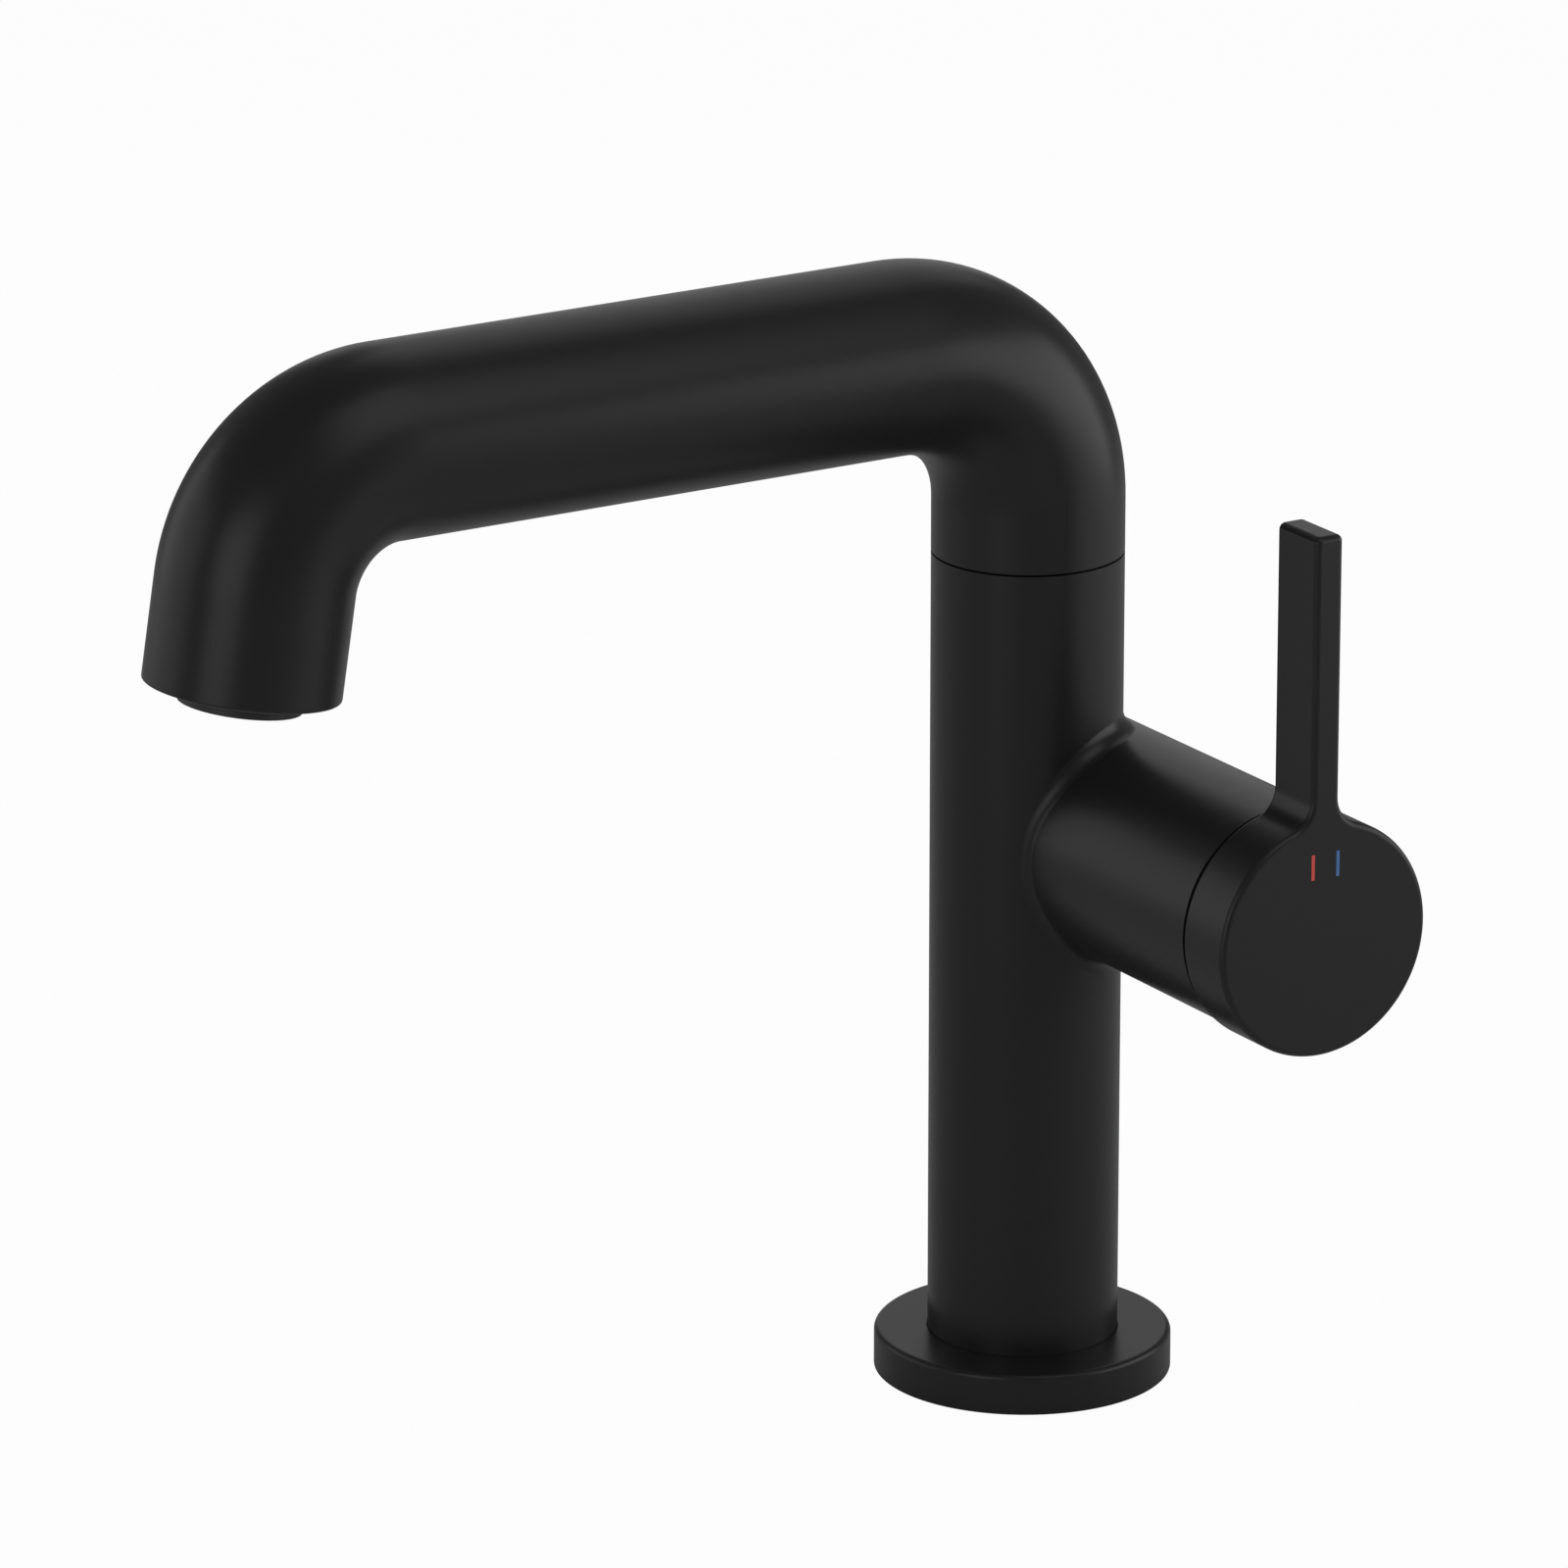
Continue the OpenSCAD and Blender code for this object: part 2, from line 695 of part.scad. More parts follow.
// Outline of the handle, a disc with an upright blade, drawn in by inset all around.
// Every point keeps its place along the outline, so that insets make matching rings.
blade_half = lever_width / 2;
root_v = sqrt(pow(handle_r + root_round, 2) - pow(blade_half + root_round, 2));
root_angle = atan2(root_v, blade_half + root_round);
disc_steps = 64;
root_steps = 7;
corner_steps = 4;
function arc(centre, r, from, to, steps) =
    [for (i = [0 : steps]) let (w = from + (to - from) * i / steps)
        centre + r * [cos(w), sin(w)]];
corner_y = blade_half - lever_corner;
corner_z = lever_rise - lever_corner;
function handle_outline(inset) = concat(
    arc([0, 0], handle_r - inset, 180 - root_angle, 360 + root_angle, disc_steps),
    arc([blade_half + root_round, root_v], root_round + inset, 180 + root_angle, 180, root_steps),
    arc([corner_y, corner_z], lever_corner - inset, 0, 90, corner_steps),
    arc([-corner_y, corner_z], lever_corner - inset, 90, 180, corner_steps),
    arc([-blade_half - root_round, root_v], root_round + inset, 0, -root_angle, root_steps)
);
edge_steps = 4;
edge_rings = concat(
    [for (i = [0 : edge_steps]) let (w = 90 * i / edge_steps)
        [rear_round * (1 - cos(w)), rear_round * (1 - sin(w))]],
    [for (i = [edge_steps : -1 : 0]) let (w = 90 * i / edge_steps)
        [handle_depth - edge_round * (1 - cos(w)), edge_round * (1 - sin(w))]]
);

module handle_blank() {
    rings = [for (e = edge_rings) [for (p = handle_outline(min(e[1], lever_corner - 0.02)))
        [handle_back + e[0], barrel_set_back + p[0], barrel_axis_height + p[1]]]];
    n = len(rings[0]);
    rows = len(rings);
    sides = [for (k = [0 : rows - 2], i = [0 : n - 1]) let (j = (i + 1) % n)
        [k * n + i, (k + 1) * n + i, (k + 1) * n + j, k * n + j]];
    caps = [
        [for (i = [0 : n - 1]) i],
        [for (i = [n - 1 : -1 : 0]) (rows - 1) * n + i]
    ];
    polyhedron([for (r = rings) each r], concat(sides, caps), convexity = 6);
}

// The hollow widens to a thin rim, so that the rim passes outside the barrel as the lever tilts
module handle_hollow() {
    rim = handle_r - rear_round - 0.1;
    deep_r = handle_r - 4;
    depth = hollow_front - handle_back;
    on_barrel(handle_back) rotate_extrude() polygon([
        [0, -over], [rim, -over], [rim, 0], [rim - 1.2, 1.5], [deep_r, 3.2], [deep_r, depth], [0, depth]
    ]);
}

module handle() {
    square_hole = stem_square + 2 * loose_fit;
    color(BLACK) difference() {
        union() {
            difference() {
                handle_blank();
                handle_hollow();
            }
            barrel_ring(hub_x, hollow_front + over, hub_r);
        }
        on_barrel(hub_x - over) translate([-square_hole / 2, -square_hole / 2, 0])
            cube([square_hole, square_hole, hollow_front - hub_x + over]);
        translate([grub_x, barrel_set_back, barrel_axis_height - handle_r - over])
            cylinder(r = grub_r, h = grub_tip_z - barrel_axis_height + handle_r + over + 0.25);
        mark_block(-1, over);
        mark_block(1, over);
    }
}

// One temperature mark, which stands out of the disc's face by proud
module mark_block(side, proud = 0) {
    translate([
        handle_front - mark_depth,
        barrel_set_back + side * mark_spacing / 2 - mark_width / 2,
        barrel_axis_height + mark_rise - mark_height / 2
    ]) cube([mark_depth + proud, mark_width, mark_height]);
}

module hot_mark() {
    color([0.85, 0.25, 0.22]) mark_block(-1);
}

module cold_mark() {
    color([0.25, 0.45, 0.7]) mark_block(1);
}

module handle_grub_screw() {
    color("silver") difference() {
        translate([grub_x, barrel_set_back, grub_tip_z - grub_length])
            cylinder(r = grub_r, h = grub_length);
        translate([grub_x, barrel_set_back, grub_tip_z - grub_length - over])
            cylinder(r = grub_r / 2, h = 1.5 + over, $fn = 6);
    }
}

// ---- Spout ----

// A round bar along the spout's centre line, from the seam to the end of the second bend
module spout_run(r, foot) {
    translate([0, 0, foot]) cylinder(r = r, h = first_bend_foot - foot);
    translate([0, -first_bend_radius, first_bend_foot]) rotate([0, -90, 0])
        rotate_extrude(angle = 90) translate([first_bend_radius, 0]) circle(r = r);
    translate([0, -first_bend_radius, seam_height + spout_rise])
        rotate([90, 0, 0]) cylinder(r = r, h = spout_straight);
    translate([0, straight_end, seam_height + spout_rise - second_bend_radius]) rotate([0, -90, 0])
        rotate_extrude(angle = -second_bend_angle) translate([second_bend_radius, 0])
            circle(r = r);
}

module spout() {
    color(BLACK) difference() {
        union() {
            spout_run(column_r, spout_foot);
            in_outlet() translate([0, 0, outlet_length + outlet_reach_in]) mirror([0, 0, 1])
                rotate_extrude() rounded_ring_outline(
                    0, column_r - outlet_step, outlet_length + outlet_reach_in, outlet_round);
        }
        spout_run(bore_r, spout_foot - over);
        in_outlet() translate([0, 0, -over])
            cylinder(r = aerator_r + running_fit, h = aerator_depth + over);
        in_outlet() cylinder(r = throat_r, h = outlet_length + over);
    }
}

module spout_spigot() {
    color("goldenrod") difference() {
        union() {
            translate([0, 0, spigot_foot]) cylinder(r = spigot_r, h = spout_foot - spigot_foot + 1);
            translate([0, 0, spout_foot]) cylinder(r = bore_r, h = spigot_head);
        }
        translate([0, 0, spigot_foot - over])
            cylinder(d = spigot_bore_dia, h = spout_foot + spigot_head - spigot_foot + 2 * over);
        spigot_groove(lower_slide_z, slide_ring_height, slide_ring_thickness);
        spigot_groove(upper_slide_z, slide_ring_height, slide_ring_thickness);
        spigot_groove(lower_o_z, o_ring_section, o_ring_section);
        spigot_groove(upper_o_z, o_ring_section, o_ring_section);
        stop_groove();
    }
}

module spigot_groove(z, height, depth) {
    translate([0, 0, z - loose_fit]) difference() {
        cylinder(r = socket_r + over, h = height + 2 * loose_fit);
        translate([0, 0, -over]) cylinder(r = ring_r - depth, h = height + 2 * over + 2 * loose_fit);
    }
}

// The groove turns with the spout, and its ends meet the stop screw at the swivel limits
module stop_groove() {
    translate([0, 0, stop_z - stop_tip_dia / 2 - loose_fit])
        rotate([0, 0, 90 - stop_groove_angle / 2])
            rotate_extrude(angle = stop_groove_angle)
                translate([stop_groove_r, 0]) square([socket_r, stop_tip_dia + 2 * loose_fit]);
}

module slide_ring(z) {
    color("ivory") translate([0, 0, z]) difference() {
        cylinder(r = ring_r, h = slide_ring_height);
        translate([0, 0, -over])
            cylinder(r = ring_r - slide_ring_thickness, h = slide_ring_height + 2 * over);
    }
}

module o_ring(z) {
    color("dimgray") translate([0, 0, z + o_ring_section / 2])
        rotate_extrude() translate([ring_r - o_ring_section / 2, 0]) circle(d = o_ring_section);
}

module lower_slide_ring() {
    slide_ring(lower_slide_z);
}

module upper_slide_ring() {
    slide_ring(upper_slide_z);
}

module lower_o_ring() {
    o_ring(lower_o_z);
}

module upper_o_ring() {
    o_ring(upper_o_z);
}

// ---- Aerator ----

module aerator_housing() {
    key = 3;
    color(GREY) in_outlet() difference() {
        translate([0, 0, -aerator_drop]) cylinder(r = aerator_r, h = housing_top + aerator_drop);
        translate([0, 0, grid_foot]) cylinder(r = aerator_bore_r, h = aerator_depth + aerator_drop);
        translate([0, 0, -aerator_drop - over])
            cylinder(r = aerator_bore_r - aerator_lip, h = aerator_drop);
        // Notches for the key that unscrews it
        for (turn = [0 : 90 : 270]) rotate([0, 0, turn])
            translate([aerator_bore_r - aerator_lip - over, -key / 2, -aerator_drop - over])
                cube([aerator_wall, key, over + aerator_lip - 0.2]);
    }
}

// Places of a honeycomb's cells whose centres lie within reach of the middle
function cells(reach, pitch) = [
    for (i = [-8 : 8], j = [-8 : 8])
        let (p = pitch * [i + j / 2, j * sqrt(3) / 2])
        if (norm(p) <= reach) p
];

module aerator_grid() {
    color(GREY) in_outlet() translate([0, 0, grid_foot]) difference() {
        cylinder(r = aerator_bore_r - running_fit, h = grid_thickness);
        for (p = cells(aerator_bore_r - cell_width / 2 - 1, cell_pitch))
            translate([p[0], p[1], -over]) rotate([0, 0, 30])
                cylinder(d = cell_width, h = grid_thickness + 2 * over, $fn = 6);
    }
}

module aerator_screen() {
    color("silver") in_outlet() translate([0, 0, screen_foot]) difference() {
        cylinder(r = aerator_bore_r - running_fit, h = screen_thickness);
        for (p = cells(throat_r, mesh_pitch))
            translate([p[0], p[1], -over]) cylinder(d = mesh_hole_dia, h = screen_thickness + 2 * over);
    }
}

module flow_regulator() {
    color("khaki") in_outlet() translate([0, 0, regulator_foot]) difference() {
        cylinder(r = aerator_bore_r - running_fit, h = regulator_thickness);
        for (turn = [0 : 60 : 300]) rotate([0, 0, turn])
            translate([0.6 * aerator_bore_r, 0, -over])
                cylinder(d = jet_dia, h = regulator_thickness + 2 * over);
        translate([0, 0, regulator_thickness - 1]) cylinder(r = 0.3 * aerator_bore_r, h = 2);
    }
}

module aerator_seal() {
    color("dimgray") in_outlet() translate([0, 0, housing_top]) difference() {
        cylinder(r = aerator_r, h = aerator_seal_thickness);
        translate([0, 0, -over]) cylinder(r = throat_r, h = aerator_seal_thickness + 2 * over);
    }
}

body_casting();
base_flange();
base_gasket();
cartridge_base();
port_seal();
disc_seal();
fixed_disc();
cartridge_housing();
clamp_nut();
cartridge_cover();
thrust_washer();
swivel_stop_screw();
stem_guide();
pivot_pin();
lever_stem();
handle();
handle_grub_screw();
hot_mark();
cold_mark();
moving_disc();
disc_carriage();
spout();
spout_spigot();
lower_slide_ring();
upper_slide_ring();
lower_o_ring();
upper_o_ring();
aerator_housing();
aerator_grid();
aerator_screen();
flow_regulator();
aerator_seal();
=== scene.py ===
import json
import math
from itertools import product

import bmesh
import bpy
from mathutils import Matrix, Vector
from mathutils.kdtree import KDTree


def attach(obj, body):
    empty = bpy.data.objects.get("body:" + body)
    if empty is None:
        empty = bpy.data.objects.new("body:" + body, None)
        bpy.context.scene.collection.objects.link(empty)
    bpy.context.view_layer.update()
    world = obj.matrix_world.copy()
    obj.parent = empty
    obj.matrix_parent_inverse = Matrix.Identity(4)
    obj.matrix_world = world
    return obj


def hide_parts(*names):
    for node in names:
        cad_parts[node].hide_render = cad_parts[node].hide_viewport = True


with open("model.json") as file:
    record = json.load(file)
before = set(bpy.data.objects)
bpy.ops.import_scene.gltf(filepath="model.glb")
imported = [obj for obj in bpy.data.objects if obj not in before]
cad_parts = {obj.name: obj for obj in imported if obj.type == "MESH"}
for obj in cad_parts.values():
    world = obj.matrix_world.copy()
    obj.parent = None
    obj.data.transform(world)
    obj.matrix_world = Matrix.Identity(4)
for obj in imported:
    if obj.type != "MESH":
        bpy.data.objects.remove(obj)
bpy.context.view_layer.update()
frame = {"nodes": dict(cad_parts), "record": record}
nodes = frame["nodes"]
scene = bpy.context.scene
print("frame loaded:", len(nodes), "nodes")

mm = 0.001


# Materials

fineGrain = {
    "bumpDepth": 0.02,
    "detail": 2,
    "patchesPerMetre": 60,
    "patchDetail": 3,
}


def newGrainGroup():
    # fine grain of a sprayed or moulded skin: a height, and an uneven roughness
    group = bpy.data.node_groups.new("skin grain", "ShaderNodeTree")
    face = group.interface
    for name, start in (("Grains per metre", 4000), ("Roughness", 0.4), ("Unevenness", 0.05)):
        face.new_socket(name, in_out="INPUT", socket_type="NodeSocketFloat").default_value = start
    for name in ("Height", "Roughness"):
        face.new_socket(name, in_out="OUTPUT", socket_type="NodeSocketFloat")
    add, link = group.nodes.new, group.links.new
    groupIn, groupOut = add("NodeGroupInput"), add("NodeGroupOutput")
    place = add("ShaderNodeTexCoord")
    fine = add("ShaderNodeTexNoise")
    fine.inputs["Detail"].default_value = fineGrain["detail"]
    patchy = add("ShaderNodeTexNoise")
    patchy.inputs["Scale"].default_value = fineGrain["patchesPerMetre"]
    patchy.inputs["Detail"].default_value = fineGrain["patchDetail"]
    centred = add("ShaderNodeMath")
    centred.operation = "SUBTRACT"
    centred.inputs[1].default_value = 0.5
    uneven = add("ShaderNodeMath")
    uneven.operation = "MULTIPLY_ADD"
    link(place.outputs["Object"], fine.inputs["Vector"])
    link(place.outputs["Object"], patchy.inputs["Vector"])
    link(groupIn.outputs["Grains per metre"], fine.inputs["Scale"])
    link(patchy.outputs["Fac"], centred.inputs[0])
    link(centred.outputs[0], uneven.inputs[0])
    link(groupIn.outputs["Unevenness"], uneven.inputs[1])
    link(groupIn.outputs["Roughness"], uneven.inputs[2])
    link(fine.outputs["Fac"], groupOut.inputs["Height"])
    link(uneven.outputs[0], groupOut.inputs["Roughness"])
    return group


skinGrain = newGrainGroup()


def newMaterial(
        name, color, roughness, metallic=0.0, specular=0.5,
        grain=0.0, grains=4000, unevenness=0.04):
    material = bpy.data.materials.new(name)
    material.use_nodes = True
    tree = material.node_tree
    shader = tree.nodes["Principled BSDF"]
    shader.inputs["Base Color"].default_value = (*color, 1)
    shader.inputs["Roughness"].default_value = roughness
    shader.inputs["Metallic"].default_value = metallic
    shader.inputs["Specular IOR Level"].default_value = specular
    if grain:
        skin = tree.nodes.new("ShaderNodeGroup")
        skin.node_tree = skinGrain
        skin.inputs["Grains per metre"].default_value = grains
        skin.inputs["Roughness"].default_value = roughness
        skin.inputs["Unevenness"].default_value = unevenness
        bump = tree.nodes.new("ShaderNodeBump")
        bump.inputs["Strength"].default_value = grain
        bump.inputs["Distance"].default_value = fineGrain["bumpDepth"] * mm
        tree.links.new(skin.outputs["Height"], bump.inputs["Height"])
        tree.links.new(skin.outputs["Roughness"], shader.inputs["Roughness"])
        tree.links.new(bump.outputs["Normal"], shader.inputs["Normal"])
    return material


materials = {
    "black": newMaterial("matte_black", (0.018, 0.018, 0.0182), 0.33, specular=0.34, grain=0.12),
    "rubber": newMaterial("rubber", (0.012, 0.012, 0.012), 0.7, grain=0.3, grains=2500),
    "polymer": newMaterial("white_polymer", (0.6, 0.6, 0.57), 0.45, grain=0.15, grains=2000),
    "polymer_dark": newMaterial("dark_polymer", (0.02, 0.02, 0.022), 0.4, grain=0.15, grains=2000),
    "ceramic_white": newMaterial("ceramic", (0.75, 0.74, 0.7), 0.15),
    "brass": newMaterial("machined_brass", (0.72, 0.5, 0.24), 0.3, metallic=1.0),
    "steel": newMaterial("satin_steel", (0.6, 0.6, 0.6), 0.3, metallic=1.0),
    "aerator_grey": newMaterial("grey_polymer", (0.03, 0.03, 0.031), 0.5, grain=0.2, grains=2500),
    "red": newMaterial("red_enamel", (0.92, 0.1, 0.08), 0.4),
    "blue": newMaterial("blue_enamel", (0.08, 0.22, 0.55), 0.4),
}

for part in frame["record"]["subparts"]:
    cadNode = nodes[part["node"]]
    cadNode.data.materials.clear()
    cadNode.data.materials.append(materials[part["material_slot"]])
print("materials placed")


# Building helpers

overcut = 1.0  # how far a cutter stands out of what it cuts
mergeWithin = {"newMesh": 0.002, "cadCopy": 0.001, "cutMesh": 0.0005}
sharpAngle = 28


def newThing(name, points, faces):
    mesh = bpy.data.meshes.new(name)
    mesh.from_pydata(points, [], faces)
    thing = bpy.data.objects.new(name, mesh)
    scene.collection.objects.link(thing)
    return thing


def bakeMesh(thing):  # the evaluated mesh replaces the stack
    depsgraph = bpy.context.evaluated_depsgraph_get()
    mesh = bpy.data.meshes.new_from_object(
        thing.evaluated_get(depsgraph), preserve_all_data_layers=True, depsgraph=depsgraph)
    thing.modifiers.clear()
    thing.data = mesh
    return thing


def smoothEdges(thing, angle=sharpAngle):
    # smooth faces, sharp edges by angle, and flat faces keep their own normal
    thing.data.shade_smooth()
    thing.data.set_sharp_from_angle(angle=math.radians(angle))
    weigh = thing.modifiers.new("weighted normals", "WEIGHTED_NORMAL")
    weigh.keep_sharp = True
    return bakeMesh(thing)


def dress(thing, slotName, body, *cadNames):
    thing.data.materials.clear()
    thing.data.materials.append(materials[slotName])
    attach(thing, body)
    if cadNames:
        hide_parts(*cadNames)
    return thing


def cut(thing, *cutters):
    for cutter in cutters:
        step = thing.modifiers.new("cut", "BOOLEAN")
        step.operation = "DIFFERENCE"
        step.solver = "EXACT"
        step.object = cutter
    bakeMesh(thing)
    for cutter in cutters:
        bpy.data.objects.remove(cutter)
    return thing


def mergePoints(mesh, kind, turnOutwards=False):
    bm = bmesh.new()
    bm.from_mesh(mesh)
    bmesh.ops.remove_doubles(bm, verts=bm.verts, dist=mergeWithin[kind] * mm)
    if turnOutwards:
        bmesh.ops.recalc_face_normals(bm, faces=bm.faces)
    bm.to_mesh(mesh)
    bm.free()


def outwards(thing):
    mergePoints(thing.data, "newMesh", turnOutwards=True)
    return thing


def lathe(name, outline, sides=128, place=Matrix()):
    # a closed outline of (radius, height) in mm, turned about Z, then placed
    points, faces = [], []
    for radius, height in outline:
        for k in range(sides):
            turn = math.tau * k / sides
            points.append(place @ Vector(
                (radius * math.cos(turn) * mm, radius * math.sin(turn) * mm, height * mm)))
    rows = len(outline)
    for row in range(rows):
        near, far = row * sides, (row + 1) % rows * sides
        for k in range(sides):
            n = (k + 1) % sides
            faces.append((near + k, near + n, far + n, far + k))
    return outwards(newThing(name, points, faces))


def roundedCorner(centre, radius, start, stop, steps=6):
    return [
        (centre[0] + radius * math.cos(turn), centre[1] + radius * math.sin(turn))
        for turn in (
            math.radians(start + (stop - start) * k / steps) for k in range(steps + 1))]


def block(name, low, high):
    points = [Vector(corner) * mm for corner in product(*zip(low, high))]
    faces = [(0, 1, 3, 2), (4, 6, 7, 5), (0, 4, 5, 1), (2, 3, 7, 6), (0, 2, 6, 4), (1, 5, 7, 3)]
    return outwards(newThing(name, points, faces))


def newTree(name, floats=(), objects=()):  # named inputs, and one for the finish
    tree = bpy.data.node_groups.new(name, "GeometryNodeTree")
    face = tree.interface
    kinds = {title: "NodeSocketFloat" for title in floats}
    kinds.update({title: "NodeSocketObject" for title in objects})
    kinds["Finish"] = "NodeSocketMaterial"
    face.new_socket("Geometry", in_out="INPUT", socket_type="NodeSocketGeometry")
    keys = {
        title: face.new_socket(title, in_out="INPUT", socket_type=kind).identifier
        for title, kind in kinds.items()}
    face.new_socket("Geometry", in_out="OUTPUT", socket_type="NodeSocketGeometry")
    return tree, keys, tree.nodes.new("NodeGroupInput"), tree.nodes.new("NodeGroupOutput")


def operate(tree, step, operation, operands):  # each operand is a socket or a fixed value
    step.operation = operation
    for k, operand in enumerate(operands):
        if isinstance(operand, bpy.types.NodeSocket):
            tree.links.new(operand, step.inputs[k])
        else:
            step.inputs[k].default_value = operand
    return step


def mathNode(tree, operation, *operands):
    return operate(tree, tree.nodes.new("ShaderNodeMath"), operation, operands).outputs[0]


def vectorNode(tree, operation, *operands):
    return operate(tree, tree.nodes.new("ShaderNodeVectorMath"), operation, operands)


def endTree(tree, groupIn, groupOut, geometry):
    realize = tree.nodes.new("GeometryNodeRealizeInstances")
    setMaterial = tree.nodes.new("GeometryNodeSetMaterial")
    tree.links.new(geometry, realize.inputs[0])
    tree.links.new(realize.outputs[0], setMaterial.inputs["Geometry"])
    tree.links.new(groupIn.outputs["Finish"], setMaterial.inputs["Material"])
    tree.links.new(setMaterial.outputs[0], groupOut.inputs[0])


def runTree(thing, tree, keys, values, finish):  # inputs set by identifier, then baked
    step = thing.modifiers.new(tree.name, "NODES")
    step.node_group = tree
    for title, value in values.items():
        step[keys[title]] = value
    step[keys["Finish"]] = materials[finish]
    return bakeMesh(thing)


# Handle: disc and lever blade in one, hollow behind

handleSize = {
    "axisY": 10.8,
    "axisZ": 93.8,
    "rearX": 60.5,
    "depth": 11.5,
    "radius": 19.8,
    "bladeWidth": 5.2,
    "bladeTop": 67.7,
    "cornerRound": 1.2,
    "rootRound": 5.0,
    "edgeRound": 1.0,
    "rearRound": 1.0,
    "rimWall": 1.1,
    "rimStep": (1.2, 1.5),
    "deepWall": 4.0,
    "deepStart": 3.2,
    "frontWall": 3.4,
    "hubRadius": 6.5,
    "hubGap": 2.4,
    "squareHole": 7.2,
    "squareStart": 1.0,
    "squareShort": 0.05,
    "grubRadius": 2.0,
    "grubX": 5.55,
    "grubReach": 0.1,
    "markSize": (0.6, 4.3),
    "markDepth": 0.4,
    "markSpacing": 4.8,
    "markRise": 12.6,
    "leastCorner": 0.02,
    "discSteps": 180,
    "rootSteps": 14,
    "cornerSteps": 8,
    "edgeSteps": 8,
    "hollowSides": 144,
    "grubSides": 32,
}
barrelAxis = Matrix.Translation(
    (0, handleSize["axisY"] * mm, handleSize["axisZ"] * mm)) @ Matrix.Rotation(math.pi / 2, 4, "Y")


def handleOutline(inset):  # (y, z) about the barrel's axis, anticlockwise from the front
    s = handleSize
    half, root, corner = s["bladeWidth"] / 2, s["rootRound"], s["cornerRound"]
    rootZ = math.sqrt((s["radius"] + root) ** 2 - (half + root) ** 2)
    rootTurn = math.degrees(math.atan2(rootZ, half + root))
    cornerZ = s["bladeTop"] - corner
    inset = min(inset, corner - s["leastCorner"])
    rootSteps, cornerSteps = s["rootSteps"], s["cornerSteps"]
    return (
        roundedCorner((0, 0), s["radius"] - inset, 180 - rootTurn, 360 + rootTurn, s["discSteps"])
        + roundedCorner((half + root, rootZ), root + inset, 180 + rootTurn, 180, rootSteps)
        + roundedCorner((half - corner, cornerZ), corner - inset, 0, 90, cornerSteps)
        + roundedCorner((corner - half, cornerZ), corner - inset, 90, 180, cornerSteps)
        + roundedCorner((-half - root, rootZ), root + inset, 0, -rootTurn, rootSteps))


def handleSolid():  # the outline carried from rear to front, drawn in at both edges
    s = handleSize
    rear, front = s["rearRound"], s["edgeRound"]
    turns = [math.pi / 2 * k / s["edgeSteps"] for k in range(s["edgeSteps"] + 1)]
    rings = [(rear * (1 - math.cos(a)), rear * (1 - math.sin(a))) for a in turns]
    rings += [
        (s["depth"] - front * (1 - math.cos(a)), front * (1 - math.sin(a)))
        for a in reversed(turns)]
    points, faces = [], []
    for along, inset in rings:
        outline = handleOutline(inset)
        points += [
            Vector((s["rearX"] + along, s["axisY"] + y, s["axisZ"] + z)) * mm for y, z in outline]
    count = len(outline)
    last = (len(rings) - 1) * count
    for near in range(0, last, count):
        far = near + count
        for k in range(count):
            n = (k + 1) % count
            faces.append((near + k, near + n, far + n, far + k))
    faces.append(tuple(range(count)))
    faces.append(tuple(range(last, last + count)))
    return outwards(newThing("lever_handle", points, faces))


def handleHollow(floorX):  # open to the rear, with the hub left standing
    s = handleSize
    rim = s["radius"] - s["rimWall"]
    deep = s["radius"] - s["deepWall"]
    stepIn, stepEnd = s["rimStep"]
    outline = [
        (0, -overcut), (rim, -overcut), (rim, 0), (rim - stepIn, stepEnd),
        (deep, s["deepStart"]), (deep, floorX),
        (s["hubRadius"], floorX), (s["hubRadius"], s["hubGap"]), (0, s["hubGap"])]
    place = Matrix.Translation((s["rearX"] * mm, 0, 0)) @ barrelAxis
    return lathe("hollow", outline, s["hollowSides"], place)


def handleHoles(floorX):  # the stem's square hole, and the grub screw's from below
    s = handleSize
    half = s["squareHole"] / 2
    square = block(
        "square hole",
        (s["rearX"] + s["squareStart"], s["axisY"] - half, s["axisZ"] - half),
        (s["rearX"] + floorX - s["squareShort"], s["axisY"] + half, s["axisZ"] + half))
    low, high = -s["radius"] - overcut, -half + s["grubReach"]
    outline = [(0, low), (s["grubRadius"], low), (s["grubRadius"], high), (0, high)]
    place = Matrix.Translation(Vector((s["rearX"] + s["grubX"], s["axisY"], s["axisZ"])) * mm)
    return [square, lathe("grub hole", outline, s["grubSides"], place)]


def markRecess(side):
    s = handleSize
    width, height = s["markSize"]
    middle = s["axisY"] + side * s["markSpacing"] / 2
    rise = s["axisZ"] + s["markRise"]
    front = s["rearX"] + s["depth"]
    return block(
        "mark recess",
        (front - s["markDepth"], middle - width / 2, rise - height / 2),
        (front + overcut, middle + width / 2, rise + height / 2))


def newHandle():
    floorX = handleSize["depth"] - handleSize["frontWall"]
    handle = handleSolid()
    cut(handle, handleHollow(floorX), *handleHoles(floorX), markRecess(-1), markRecess(1))
    mergePoints(handle.data, "cutMesh")
    dress(smoothEdges(handle), "black", "lever", "handle")


newHandle()
print("handle made")


# Spout: a turned tube bent along its centre line

